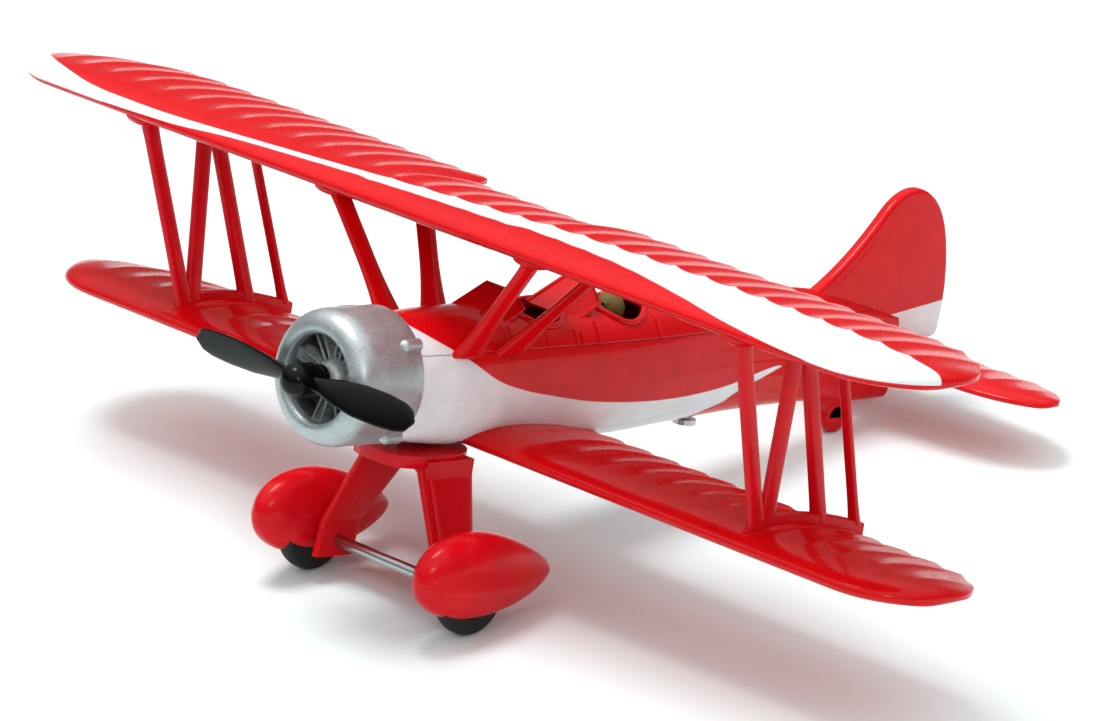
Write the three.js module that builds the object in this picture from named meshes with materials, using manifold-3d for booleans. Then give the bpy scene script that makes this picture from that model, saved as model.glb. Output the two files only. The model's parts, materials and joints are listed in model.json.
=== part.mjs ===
// A two-seat radial-engined biplane as a small die-cast scale model, about 1:72.
// Millimetres. Inside the airframe group X points to port, Y aft from the cowl's front face and
// Z up from the thrust line. The whole model stands nose-up on two main wheels and a tail wheel.
import * as THREE from 'three';
import { mergeVertices } from 'three/addons/utils/BufferGeometryUtils.js';
import Module from 'manifold-3d';

const wasm = await Module();
wasm.setup();

// ---- Clearances ----
const GAP = 0.3; // between two fixed pieces that seat on each other
const RUN = 0.2; // radial, between a turning piece and its bearing
const PRESS = 0.08; // radial, between a pressed-on wheel or hub and its shaft

// ---- Wings ----
const UPPER_HALF_SPAN = 68;
const UPPER_CHORD = 22.5;
const UPPER_FRONT = 11;
const UPPER_HEIGHT = 17;
const LOWER_HALF_SPAN = 66;
const LOWER_CHORD = 19.6;
const LOWER_DROOP = 0.5; // how far its rear edge lies below its nose
const LOWER_FRONT = 19.5;
const LOWER_HEIGHT = -6.7;
const WING_THICKNESS = 2.9;
const WING_CAMBER = 0.5;
const EDGE_THICKNESS = 0.5; // at a trailing edge
const FRONT_TIP = 8.5; // span taken by the round of a tip at the front edge
const UPPER_REAR_TIP = 14; // and at the rear edge
const LOWER_REAR_TIP = 10.5;
const CUTOUT_HALF_WIDTH = 10; // in the upper trailing edge, over the cockpits
const CUTOUT_DEPTH = 3.2;
const CUTOUT_CORNER = 1.6;

// ---- Fuselage ----
const FUSELAGE_LENGTH = 81;
const FUSELAGE_WIDTH = 13;
const DECK_HEIGHT = 6.7; // top of the deck above the thrust line
const BELLY_DEPTH = 8.3; // belly below the thrust line
const SEAM_HEIGHT = 3.3; // joint between the deck casting and the body casting
const WALL = 1;
const COCKPIT_WIDTH = 8.8;
const COCKPIT_LENGTH = 8.6;
const FRONT_COCKPIT = 25.4; // front edge of each opening
const REAR_COCKPIT = 37.8;
const TUB_DEPTH = 8; // tub floor below the deck
const SCREEN_HEIGHT = 2.6;
const SCREEN_WIDTH = 6.8;
const SCREEN_DEPTH = 4.4; // how far the side panes reach aft
const SCREEN_THICKNESS = 0.6;
const SCREEN_LEAN = 1.2; // how far a screen leans aft for each millimetre of height
const SCREEN_AHEAD = { front: 3.6, rear: 4.6 }; // foot of each screen ahead of its cockpit

// ---- Tail ----
const TAIL_HALF_SPAN = 24.4;
const TAIL_FRONT = 83.4;
const TAIL_CHORD = 13;
const TAIL_HEIGHT = -1.7;
const TAIL_THICKNESS = 1.5;
const TAIL_SWEEP = 2.6; // how far the front edge runs aft by the tip
const TAIL_TIP = 9;
const FIN_FRONT = 75.3;
const FIN_TOP = 17.1;
const RUDDER_END = 97.6;
const FIN_THICKNESS = 1.6;

// ---- Nose ----
const COWL_RADIUS = 7.35;
const COWL_LENGTH = 9;
const COWL_WALL = 0.8;
const COWL_MOUTH = 4.7;
const COWL_LIP = 2.4; // length of the rounded lip
const CYLINDERS = 9;
const CYLINDER_RADIUS = 0.95;
const ENGINE_FRONT = 3.4;
const CRANKCASE_RADIUS = 2.1;
const CRANKCASE_FRONT = 1.6;
const SHAFT_RADIUS = 0.6;
const PROPELLER_RADIUS = 16.6;
const BLADE_CHORD = 3.7;
const BLADE_THICKNESS = 0.75;
const BLADE_PLANE = -1.5;
const BLADE_PITCH = 24; // degrees
const HUB_RADIUS = 1.75;
const HUB_FRONT = -4.3;

// ---- Struts ----
const STRUT_WIDTH = 2.1;
const STRUT_THICKNESS = 1.1;
const ROD_WIDTH = 1.1; // the thin aft strut of each frame
const STRUT_TOP_OUT = 45.5; // distance from the centreline at the upper wing
const STRUT_FOOT_OUT = 44.1; // and at the lower wing
const FOOT_STRIP = 1.3; // height of the strip that joins the feet
const FRAME_TOPS = { front: 2.9, rear: 12.6, rod: 17.6 }; // aft of the upper front edge
const FRAME_FEET = { front: 3.6, rear: 13.1, rod: 18.6 }; // aft of the lower front edge
const CABANE_CHORD = 2.6;
const CABANE_THICKNESS = 1.3;
const CABANE_FLARE = 1.7; // how much broader a cabane strut is where it meets the deck
const CABANE_FEET = { front: 16.3, rear: 22.5 };
const CABANE_TOPS = { front: 14.3, rear: 27.1 };
const CABANE_FOOT_INSET = 1; // middle of a foot in from the widest part of the fuselage there
const CABANE_TOP_OUT = { front: 15.2, rear: 15.4 };

// ---- Landing gear ----
const WHEEL_RADIUS = 4.3;
const WHEEL_WIDTH = 2.4;
const HALF_TRACK = 12.2;
const AXLE_RADIUS = 0.68;
const AXLE_AFT = 15.4;
const AXLE_HEIGHT = -21.2;
const WHEEL_CLEARANCE = 0.5;
const SPAT_LENGTH = 19.8;
const SPAT_HEIGHT = 9.4;
const SPAT_WIDTH = 5.9;
const SPAT_FRONT = 6.9;
const SPAT_TOP = -14.2;
const SPAT_INNER = 9.6; // inner side of a spat from the centreline
const LEG_TOP_CHORD = 8;
const LEG_FOOT_CHORD = 5.6;
const LEG_THICKNESS = 1.2;
const LEG_TOP_OUT = 3.9;
const LEG_TOP_AFT = 17.2;
const PLATE_WIDTH = 9.6;
const PLATE_THICKNESS = 0.9;
const PLATE_FRONT = 10.2;
const PLATE_END = 22.4;
const TAIL_WHEEL_RADIUS = 1.8;
const TAIL_WHEEL_WIDTH = 1.9;
const TAIL_WHEEL_AFT = 82.3;
const TAIL_WHEEL_HEIGHT = -9.1;
const TAIL_BRACKET_LENGTH = 4.6;

// ---- Fasteners and figure ----
const SCREW_RADIUS = 0.65;
const SCREW_HEAD_RADIUS = 1.3;
const SCREW_HEAD_HEIGHT = 0.6;
const SCREW_LENGTH = 5;
const HEAD_SUNK = 0.3; // how deep the front screw's head sits in the belly plate
const POST_RADIUS = 1.5;
const FRONT_SCREW = 13.2;
const REAR_SCREW = 58;
const HEAD_RADIUS = 1.7;
const SHOULDER_WIDTH = 5.6;
const SEAT_WIDTH = 5;

// ---- Solids from three.js geometries ----
function welded(geometry) {
  const bare = geometry.index ? geometry.clone() : mergeVertices(geometry);
  bare.deleteAttribute('normal');
  bare.deleteAttribute('uv');
  return mergeVertices(bare, 1e-4);
}

function volumeOf(geometry) {
  const corners = [0, 1, 2].map(() => new THREE.Vector3());
  let volume = 0;
  for (let i = 0; i < geometry.index.count; i += 3) {
    corners.forEach((corner, k) => {
      corner.fromBufferAttribute(geometry.attributes.position, geometry.index.getX(i + k));
    });
    volume += corners[0].dot(corners[1].cross(corners[2])) / 6;
  }
  return volume;
}

function facingOut(geometry) {
  if (volumeOf(geometry) < 0) {
    const turned = Array.from(geometry.index.array).reverse();
    geometry.setIndex(turned);
  }
  return geometry;
}

function solid(geometry) {
  const closed = facingOut(welded(geometry));
  return new wasm.Manifold(new wasm.Mesh({
    numProp: 3,
    vertProperties: new Float32Array(closed.attributes.position.array),
    triVerts: new Uint32Array(closed.index.array),
  }));
}

function geometryOf(manifold) {
  const mesh = manifold.getMesh();
  const geometry = new THREE.BufferGeometry();
  geometry.setAttribute('position', new THREE.BufferAttribute(mesh.vertProperties, mesh.numProp));
  geometry.setIndex(new THREE.BufferAttribute(mesh.triVerts, 1));
  return geometry;
}

function join(...geometries) {
  return geometryOf(geometries.map(solid).reduce((whole, next) => whole.add(next)));
}

function cut(base, ...tools) {
  return geometryOf(tools.map(solid).reduce((whole, tool) => whole.subtract(tool), solid(base)));
}

function keep(base, region) {
  return geometryOf(solid(base).intersect(solid(region)));
}

// A closed skin through rings of points: point(station, angle) gives one point of one ring.
function skin(around, stations, point) {
  const rows = stations.length - 1;
  const geometry = welded(new THREE.CylinderGeometry(1, 1, rows, around, rows));
  const position = geometry.attributes.position;
  const ring = (station) => Array.from({ length: around }, (_, k) => point(station, 2 * Math.PI * k / around));
  for (let i = 0; i < position.count; i += 1) {
    const station = stations[Math.round(position.getY(i) + rows / 2)];
    const rim = Math.hypot(position.getX(i), position.getZ(i)) > 0.5;
    const place = new THREE.Vector3();
    if (rim) {
      place.copy(point(station, Math.atan2(position.getX(i), position.getZ(i))));
    } else {
      ring(station).forEach((p) => place.addScaledVector(p, 1 / around));
    }
    position.setXYZ(i, place.x, place.y, place.z);
  }
  return facingOut(geometry);
}

function box(x0, x1, y0, y1, z0, z1) {
  return new THREE.BoxGeometry(x1 - x0, y1 - y0, z1 - z0)
    .translate((x0 + x1) / 2, (y0 + y1) / 2, (z0 + z1) / 2);
}

// A cylinder whose flats touch its stated radius, with one flat facing down.
function roundBar(radius, length, axis, sides = 16) {
  const corner = radius / Math.cos(Math.PI / sides);
  const bar = new THREE.CylinderGeometry(corner, corner, length, sides);
  bar.rotateY(Math.PI / sides);
  if (axis === 'x') bar.rotateZ(Math.PI / 2);
  if (axis === 'z') bar.rotateX(Math.PI / 2);
  return bar;
}

// An outline drawn in the Y-Z plane, as thick as stated and centred on X = 0.
function sidePlate(shape, thickness, bevel = 0) {
  const plate = new THREE.ExtrudeGeometry(shape, {
    depth: thickness - 2 * bevel, bevelEnabled: bevel > 0, bevelSize: bevel, bevelThickness: bevel,
    bevelOffset: -bevel, bevelSegments: 1, curveSegments: 7,
  });
  plate.translate(0, 0, bevel - thickness / 2);
  plate.rotateX(Math.PI / 2);
  plate.rotateZ(Math.PI / 2);
  return plate;
}

function mirrored(geometry) {
  return facingOut(welded(geometry.clone().scale(-1, 1, 1)));
}

// ---- Wings ----
const UPPER_WING = {
  halfSpan: UPPER_HALF_SPAN, chord: UPPER_CHORD, front: UPPER_FRONT, height: UPPER_HEIGHT,
  thickness: WING_THICKNESS, sweep: 0, droop: 0, cutout: CUTOUT_DEPTH,
  frontTip: FRONT_TIP, rearTip: UPPER_REAR_TIP,
};
const LOWER_WING = {
  halfSpan: LOWER_HALF_SPAN, chord: LOWER_CHORD, front: LOWER_FRONT, height: LOWER_HEIGHT,
  thickness: WING_THICKNESS, sweep: 0, droop: LOWER_DROOP, cutout: 0,
  frontTip: FRONT_TIP, rearTip: LOWER_REAR_TIP,
};
const TAILPLANE = {
  halfSpan: TAIL_HALF_SPAN, chord: TAIL_CHORD, front: TAIL_FRONT, height: TAIL_HEIGHT,
  thickness: TAIL_THICKNESS, sweep: TAIL_SWEEP, droop: 0, cutout: 0,
  frontTip: TAIL_TIP, rearTip: TAIL_TIP,
};

// Half thickness at a share of the chord for a wing one unit thick: a blunt nose and a thin tail.
function halfThickness(share) {
  return 1.4845 * Math.sqrt(share) - 0.63 * share - 1.758 * share ** 2
    + 1.4215 * share ** 3 - 0.5075 * share ** 4;
}

// Front edge, rear edge and thickness of a wing at a distance out from the centreline.
function planform(wing, out) {
  const round = (length) => {
    const into = THREE.MathUtils.clamp((out - wing.halfSpan + length) / length, 0, 1);
    return Math.max(0.16, Math.sqrt(1 - into ** 2));
  };
  const recess = THREE.MathUtils.clamp((CUTOUT_HALF_WIDTH + CUTOUT_CORNER - out) / CUTOUT_CORNER, 0, 1);
  const swept = wing.front + wing.sweep * out / wing.halfSpan;
  const chord = wing.chord - (swept - wing.front);
  return {
    front: swept + 0.45 * chord * (1 - round(wing.frontTip)),
    rear: swept + chord - 0.55 * chord * (1 - round(wing.rearTip)) - wing.cutout * recess,
    thick: wing.thickness * (0.3 + 0.7 * round(wing.rearTip)),
  };
}

// Height of a wing's upper skin at a place on it.
function skinTop(wing, out, aft) {
  const { front, rear, thick } = planform(wing, out);
  const share = (aft - front) / (rear - front);
  const camber = WING_CAMBER * wing.thickness / WING_THICKNESS;
  const middle = wing.height - wing.droop * share + camber * 4 * share * (1 - share);
  return middle + thick * halfThickness(share) + share * EDGE_THICKNESS / 2;
}

function spanStations(wing) {
  const tip = [1, 0.97, 0.9, 0.78, 0.62, 0.4, 0].map((share) => wing.halfSpan - wing.rearTip * (1 - share));
  const inner = wing.cutout ? [CUTOUT_HALF_WIDTH + CUTOUT_CORNER, CUTOUT_HALF_WIDTH] : [];
  const port = [...tip, ...inner];
  return [...port, 0, ...port.map((x) => -x).reverse()];
}

// A wing's skin, or with grow the same skin standing off it by that much.
function wingSkin(wing, grow = 0) {
  const camber = WING_CAMBER * wing.thickness / WING_THICKNESS;
  return skin(20, spanStations(wing), (x, angle) => {
    const { front, rear, thick } = planform(wing, Math.abs(x));
    const share = (1 - Math.cos(angle)) / 2;
    const side = Math.sign(Math.sin(angle)) || 0;
    const half = thick * halfThickness(share) + share * EDGE_THICKNESS / 2;
    const reach = x + Math.sign(x) * (Math.abs(x) > wing.halfSpan - 0.01 ? grow : 0);
    const y = front + share * (rear - front) - grow * Math.cos(angle);
    const middle = wing.height - wing.droop * share + camber * 4 * share * (1 - share);
    return new THREE.Vector3(reach, y, middle + side * (half + grow));
  });
}

// ---- Fuselage ----
const FUSELAGE_FRONT = COWL_LENGTH + GAP;
// Each row: share of the length, of half the width, of the deck height and of the belly depth,
// and how square the section is there.
const FUSELAGE_OUTLINE = [
  [0, 0.98, 0.95, 0.83, 2],
  [0.08, 1, 1, 0.94, 2.2],
  [0.25, 1, 1, 1, 2.4],
  [0.42, 0.95, 1, 1, 2.4],
  [0.52, 0.86, 1.06, 0.95, 2.2],
  [0.68, 0.64, 1.01, 0.87, 2],
  [0.84, 0.4, 0.86, 0.85, 2],
  [0.93, 0.27, 0.62, 0.9, 2.2],
  [1, 0.2, 0.4, 0.88, 2.6],
];

function hullAt(aft) {
  const share = THREE.MathUtils.clamp((aft - FUSELAGE_FRONT) / FUSELAGE_LENGTH, 0, 1);
  const next = Math.max(1, FUSELAGE_OUTLINE.findIndex((row) => row[0] >= share));
  const [before, after] = [FUSELAGE_OUTLINE[next - 1], FUSELAGE_OUTLINE[next]];
  const t = (share - before[0]) / (after[0] - before[0]);
  const [, width, top, bottom, square] = before.map((value, k) => value + t * (after[k] - value));
  return { half: width * FUSELAGE_WIDTH / 2, top: top * DECK_HEIGHT, bottom: -bottom * BELLY_DEPTH, square };
}

function fuselageSkin(grow, from, to) {
  const stations = FUSELAGE_OUTLINE.map((row) => FUSELAGE_FRONT + row[0] * FUSELAGE_LENGTH)
    .filter((aft) => aft > from + 0.5 && aft < to - 0.5);
  return skin(24, [from, ...stations, to], (aft, angle) => {
    const { half, top, bottom, square } = hullAt(aft);
    const round = (value) => Math.sign(value) * Math.abs(value) ** (2 / square);
    const middle = (top + bottom) / 2;
    const x = (half + grow) * round(Math.sin(angle));
    const z = middle + ((top - bottom) / 2 + grow) * round(Math.cos(angle));
    return new THREE.Vector3(x, aft, z);
  });
}

const FUSELAGE_END = FUSELAGE_FRONT + FUSELAGE_LENGTH;

function fuselageShell() {
  const outer = fuselageSkin(0, FUSELAGE_FRONT, FUSELAGE_END);
  const hollowEnd = FUSELAGE_FRONT + 0.8 * FUSELAGE_LENGTH;
  return { outer, inner: fuselageSkin(-WALL, FUSELAGE_FRONT + WALL, hollowEnd) };
}

// A cockpit opening seen from above, as a prism that goes down through the deck.
function cockpitOpening(front) {
  const half = COCKPIT_WIDTH / 2;
  const shape = new THREE.Shape();
  shape.absellipse(0, front + COCKPIT_LENGTH / 2, half, COCKPIT_LENGTH / 2, 0, 2 * Math.PI);
  const depth = DECK_HEIGHT + 3;
  const prism = new THREE.ExtrudeGeometry(shape, { depth, bevelEnabled: false, curveSegments: 6 });
  return prism.translate(0, 0, SEAM_HEIGHT - 1);
}

function screwHole(aft, from, to) {
  return roundBar(SCREW_RADIUS + PRESS, to - from, 'z', 10).translate(0, aft, (from + to) / 2);
}

// The inner face of the belly wall, at a distance out from the centreline.
function bellyFloor(aft, out) {
  const { half, top, bottom, square } = hullAt(aft);
  const reach = (1 - (out / (half - WALL)) ** square) ** (1 / square);
  return (top + bottom) / 2 - ((top - bottom) / 2 - WALL) * reach;
}

function deckCasting() {
  const { outer, inner } = fuselageShell();
  const above = box(-30, 30, 0, FUSELAGE_END + 10, SEAM_HEIGHT + GAP / 2, 40);
  const rim = hullAt(REAR_SCREW);
  const postFoot = bellyFloor(REAR_SCREW, POST_RADIUS) + GAP;
  const post = roundBar(POST_RADIUS, rim.top - WALL / 2 - postFoot, 'z', 12)
    .translate(0, REAR_SCREW, (rim.top - WALL / 2 + postFoot) / 2);
  const shell = cut(keep(outer, above), inner);
  const cockpits = [cockpitOpening(FRONT_COCKPIT), cockpitOpening(REAR_COCKPIT)];
  const open = cut(shell, ...cockpits, wingSkin(TAILPLANE, GAP));
  return cut(join(open, post), screwHole(REAR_SCREW, postFoot - 1, postFoot + SCREW_LENGTH));
}

function bodyCasting() {
  const { outer, inner } = fuselageShell();
  const below = box(-30, 30, 0, FUSELAGE_END + 10, -40, SEAM_HEIGHT - GAP / 2);
  const belly = hullAt(REAR_SCREW).bottom;
  const frontBelly = hullAt(FRONT_SCREW).bottom;
  const wingBay = box(-20, 20, LOWER_FRONT - GAP, LOWER_FRONT + LOWER_CHORD + GAP, -30, LOWER_HEIGHT);
  const boss = roundBar(POST_RADIUS, SCREW_LENGTH, 'z', 12)
    .translate(0, FRONT_SCREW, frontBelly + WALL / 2 + SCREW_LENGTH / 2);
  const shell = cut(keep(outer, below), inner, wingSkin(LOWER_WING, GAP), wingBay, wingSkin(TAILPLANE, GAP));
  return cut(
    join(shell, boss),
    screwHole(REAR_SCREW, belly - 1, belly + 3 * WALL),
    screwHole(FRONT_SCREW, frontBelly - 1, frontBelly + SCREW_LENGTH - 1),
  );
}

function deckAt(aft) {
  return hullAt(aft).top;
}

// ---- Cockpits ----
const TUB_FLOOR = DECK_HEIGHT - TUB_DEPTH;
const TUB_FRONT = FRONT_COCKPIT - 1;
const TUB_END = REAR_COCKPIT + COCKPIT_LENGTH + 1;
const TUB_HALF = COCKPIT_WIDTH / 2 + 0.6;

function cockpitTub() {
  const rim = SEAM_HEIGHT - GAP;
  const room = fuselageSkin(-WALL - GAP, TUB_FRONT - 5, TUB_END + 5);
  const block = keep(box(-TUB_HALF, TUB_HALF, TUB_FRONT, TUB_END, TUB_FLOOR, rim), room);
  const bulkhead = (FRONT_COCKPIT + COCKPIT_LENGTH + REAR_COCKPIT) / 2;
  const well = (from, to) => box(-TUB_HALF + 0.6, TUB_HALF - 0.6, from, to, TUB_FLOOR + 0.8, rim + 1);
  return cut(block, well(TUB_FRONT + 0.6, bulkhead - 0.4), well(bulkhead + 0.4, TUB_END - 0.6));
}

function seat(front) {
  const floor = TUB_FLOOR + 0.8 + GAP;
  const back = front + COCKPIT_LENGTH - 1.4;
  const half = SEAT_WIDTH / 2;
  return join(
    box(-half, half, front + 2.2, back, floor, floor + 1.2),
    box(-half, half, back - 0.2, back + 0.7, floor, SEAM_HEIGHT + 0.6),
  );
}

function pilot() {
  const aft = REAR_COCKPIT + COCKPIT_LENGTH / 2 + 1.2;
  const lap = TUB_FLOOR + 0.8 + GAP + 1.2 + GAP;
  const neck = DECK_HEIGHT - 3;
  const rows = [[lap, 0.75], [lap + 1, 0.9], [neck - 1.4, 1], [neck - 0.4, 0.7], [neck, 0.32]];
  const torso = skin(12, rows, ([z, share], angle) => new THREE.Vector3(
    share * SHOULDER_WIDTH / 2 * Math.sin(angle), aft + 0.9 * share * 1.5 * Math.cos(angle), z,
  ));
  const head = new THREE.SphereGeometry(HEAD_RADIUS, 12, 8).rotateX(Math.PI / 2)
    .scale(0.88, 1, 1.12).translate(0, aft - 0.2, neck + HEAD_RADIUS);
  return join(torso, head);
}

// Three flat panes that lean aft and close in towards the top.
function windscreen(foot) {
  const halves = [SCREEN_WIDTH / 2, SCREEN_WIDTH * 0.3];
  const depth = SCREEN_DEPTH;
  const shape = new THREE.Shape();
  shape.moveTo(-halves[0], depth);
  shape.lineTo(-halves[1], 0);
  shape.lineTo(halves[1], 0);
  shape.lineTo(halves[0], depth);
  shape.lineTo(halves[0] - 1.1 * SCREEN_THICKNESS, depth);
  shape.lineTo(halves[1] - 0.4 * SCREEN_THICKNESS, SCREEN_THICKNESS);
  shape.lineTo(-halves[1] + 0.4 * SCREEN_THICKNESS, SCREEN_THICKNESS);
  shape.lineTo(-halves[0] + 1.1 * SCREEN_THICKNESS, depth);
  const sunk = 3;
  const panes = new THREE.ExtrudeGeometry(shape, { depth: SCREEN_HEIGHT + sunk, bevelEnabled: false });
  const lean = new THREE.Matrix4().set(1, 0, 0, 0, 0, 1, SCREEN_LEAN, 0, 0, 0, 1, 0, 0, 0, 0, 1);
  panes.translate(0, 0, -sunk).applyMatrix4(lean).translate(0, foot, deckAt(foot));
  return cut(panes, fuselageSkin(GAP, FUSELAGE_FRONT - GAP, FUSELAGE_END + GAP));
}

// ---- Nose ----
function cowl() {
  const inner = COWL_RADIUS - COWL_WALL;
  const mouth = COWL_MOUTH;
  const profile = [
    new THREE.Vector2(inner, COWL_LENGTH),
    new THREE.Vector2(COWL_RADIUS, COWL_LENGTH),
    new THREE.Vector2(COWL_RADIUS, COWL_LIP),
  ];
  for (const share of [0.35, 0.7]) {
    const turn = share * Math.PI / 2;
    const across = COWL_RADIUS - mouth - COWL_WALL;
    const radius = mouth + COWL_WALL + across * Math.cos(turn);
    profile.push(new THREE.Vector2(radius, COWL_LIP * (1 - Math.sin(turn))));
  }
  profile.push(
    new THREE.Vector2(mouth + COWL_WALL, 0),
    new THREE.Vector2(mouth, COWL_WALL / 2),
    new THREE.Vector2(mouth, COWL_WALL + 0.4),
    new THREE.Vector2(inner, COWL_LIP + COWL_WALL),
    new THREE.Vector2(inner, COWL_LENGTH),
  );
  return new THREE.LatheGeometry(profile, 24);
}

function engineBlock() {
  const reach = COWL_RADIUS - COWL_WALL - GAP;
  const plateFront = ENGINE_FRONT + 2 * CYLINDER_RADIUS;
  const ring = cut(
    roundBar(reach - 0.4, 1.2, 'y', 24).translate(0, plateFront + 0.3, 0),
    roundBar(CRANKCASE_RADIUS + GAP, 3, 'y', 16).translate(0, plateFront, 0),
  );
  const length = reach - 0.7 - CRANKCASE_RADIUS - 2 * GAP;
  const cylinders = Array.from({ length: CYLINDERS }, (_, k) => {
    const barrel = new THREE.CylinderGeometry(CYLINDER_RADIUS, CYLINDER_RADIUS, length, 8);
    const middle = CRANKCASE_RADIUS + GAP + 0.2 + length / 2;
    barrel.rotateX(Math.PI / 2).translate(0, ENGINE_FRONT + CYLINDER_RADIUS, middle);
    return barrel.rotateY(2 * Math.PI * k / CYLINDERS);
  });
  return join(ring, ...cylinders);
}

function crankcase() {
  const back = COWL_LENGTH - GAP;
  const bore = SHAFT_RADIUS + RUN;
  const profile = [
    [bore, CRANKCASE_FRONT], [CRANKCASE_RADIUS * 0.7, CRANKCASE_FRONT],
    [CRANKCASE_RADIUS, ENGINE_FRONT - 0.4], [CRANKCASE_RADIUS, back], [bore, back], [bore, CRANKCASE_FRONT],
  ].map(([x, y]) => new THREE.Vector2(x, y));
  return new THREE.LatheGeometry(profile, 16);
}

function propellerShaft() {
  const from = HUB_FRONT + 2;
  const to = COWL_LENGTH - 1.5;
  return new THREE.CylinderGeometry(SHAFT_RADIUS, SHAFT_RADIUS, to - from, 12).translate(0, (from + to) / 2, 0);
}

// One blade: rings along the radius, twisted more at the root, round at the tip.
function blade(turn) {
  const rows = [
    [0.04, 0.42], [0.14, 0.46], [0.3, 0.78], [0.5, 1],
    [0.72, 1], [0.88, 0.86], [0.96, 0.6], [1, 0.28],
  ];
  const form = skin(10, rows, ([share, width], angle) => {
    const pitch = THREE.MathUtils.degToRad(BLADE_PITCH * (1.5 - 0.7 * share));
    const along = BLADE_CHORD / 2 * width * Math.cos(angle);
    const across = BLADE_THICKNESS / 2 * (1.5 - 0.9 * share) * Math.sin(angle);
    return new THREE.Vector3(
      share * PROPELLER_RADIUS,
      BLADE_PLANE + along * Math.sin(pitch) + across * Math.cos(pitch),
      along * Math.cos(pitch) - across * Math.sin(pitch),
    );
  });
  return form.rotateY(turn);
}

function propeller() {
  const back = CRANKCASE_FRONT - GAP;
  const bore = SHAFT_RADIUS + PRESS;
  const dome = [0, 0.4, 0.75, 1].map((share) => new THREE.Vector2(
    HUB_RADIUS * Math.sin(share * Math.PI / 2),
    HUB_FRONT + HUB_RADIUS * 0.8 * (1 - Math.cos(share * Math.PI / 2)),
  ));
  const hub = new THREE.LatheGeometry([
    ...dome,
    new THREE.Vector2(HUB_RADIUS, BLADE_PLANE + 1),
    new THREE.Vector2(HUB_RADIUS * 0.75, BLADE_PLANE + 1.4),
    new THREE.Vector2(HUB_RADIUS * 0.75, back), new THREE.Vector2(0, back),
  ], 16);
  const socket = new THREE.CylinderGeometry(bore, bore, 8, 12).translate(0, HUB_FRONT + 2 - GAP + 4, 0);
  return cut(join(hub, blade(0), blade(Math.PI)), socket);
}

// ---- Struts ----
function strutBar(fromY, fromZ, toY, toZ, width) {
  const shape = new THREE.Shape();
  shape.moveTo(fromY - width / 2, fromZ);
  shape.lineTo(fromY + width / 2, fromZ);
  shape.lineTo(toY + width / 2, toZ);
  shape.lineTo(toY - width / 2, toZ);
  return sidePlate(shape, STRUT_THICKNESS);
}

// The strip along the feet, its top a steady height above the lower wing's skin.
function footStrip(from, to) {
  const crest = (aft) => skinTop(LOWER_WING, STRUT_FOOT_OUT, aft) + GAP + FOOT_STRIP;
  const shape = new THREE.Shape();
  shape.moveTo(from, LOWER_HEIGHT);
  shape.lineTo(to, LOWER_HEIGHT);
  shape.lineTo(to, crest(to));
  shape.lineTo((from + to) / 2, crest((from + to) / 2));
  shape.lineTo(from, crest(from));
  return sidePlate(shape, STRUT_THICKNESS);
}

// An N of two struts and a diagonal with a thin strut behind, on one foot strip.
function strutFrame() {
  const low = LOWER_HEIGHT;
  const high = UPPER_HEIGHT;
  const top = (key) => UPPER_FRONT + FRAME_TOPS[key];
  const base = (key) => LOWER_FRONT + FRAME_FEET[key];
  const bars = join(
    strutBar(base('front'), low, top('front'), high, STRUT_WIDTH),
    strutBar(base('front') + 0.6, low, top('rear') - 0.8, high, STRUT_WIDTH),
    strutBar(base('rear'), low, top('rear'), high, STRUT_WIDTH),
    strutBar(base('rod'), low, top('rod'), high, ROD_WIDTH),
    footStrip(base('front') - STRUT_WIDTH / 2, base('rod') + ROD_WIDTH / 2),
  );
  const lean = (STRUT_TOP_OUT - STRUT_FOOT_OUT) / (high - low);
  const shift = STRUT_FOOT_OUT - lean * low;
  const tilt = new THREE.Matrix4().set(1, 0, lean, shift, 0, 1, 0, 0, 0, 0, 1, 0, 0, 0, 0, 1);
  return cut(bars.applyMatrix4(tilt), wingSkin(UPPER_WING, GAP), wingSkin(LOWER_WING, GAP),
    box(0, 90, 0, 60, UPPER_HEIGHT, UPPER_HEIGHT + 9), box(0, 90, 0, 60, LOWER_HEIGHT - 9, LOWER_HEIGHT));
}

function cabaneStrut(key) {
  const hull = hullAt(CABANE_FEET[key]);
  const foot = new THREE.Vector3(hull.half - CABANE_FOOT_INSET, CABANE_FEET[key], hull.top * 0.45);
  const top = new THREE.Vector3(CABANE_TOP_OUT[key], CABANE_TOPS[key], UPPER_HEIGHT);
  const strut = skin(10, [0, 0.16, 0.3, 0.5, 1], (share, angle) => {
    const flare = 1 + (CABANE_FLARE - 1) * Math.max(0, 1 - share / 0.5) ** 2;
    const middle = foot.clone().lerp(top, share);
    middle.x += CABANE_THICKNESS * flare / 2 * Math.sin(angle);
    middle.y += CABANE_CHORD * flare / 2 * Math.cos(angle);
    return middle;
  });
  return cut(strut, fuselageSkin(GAP, FUSELAGE_FRONT, FUSELAGE_END), wingSkin(UPPER_WING, GAP),
    box(0, 90, 0, 60, UPPER_HEIGHT, UPPER_HEIGHT + 9));
}

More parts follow.
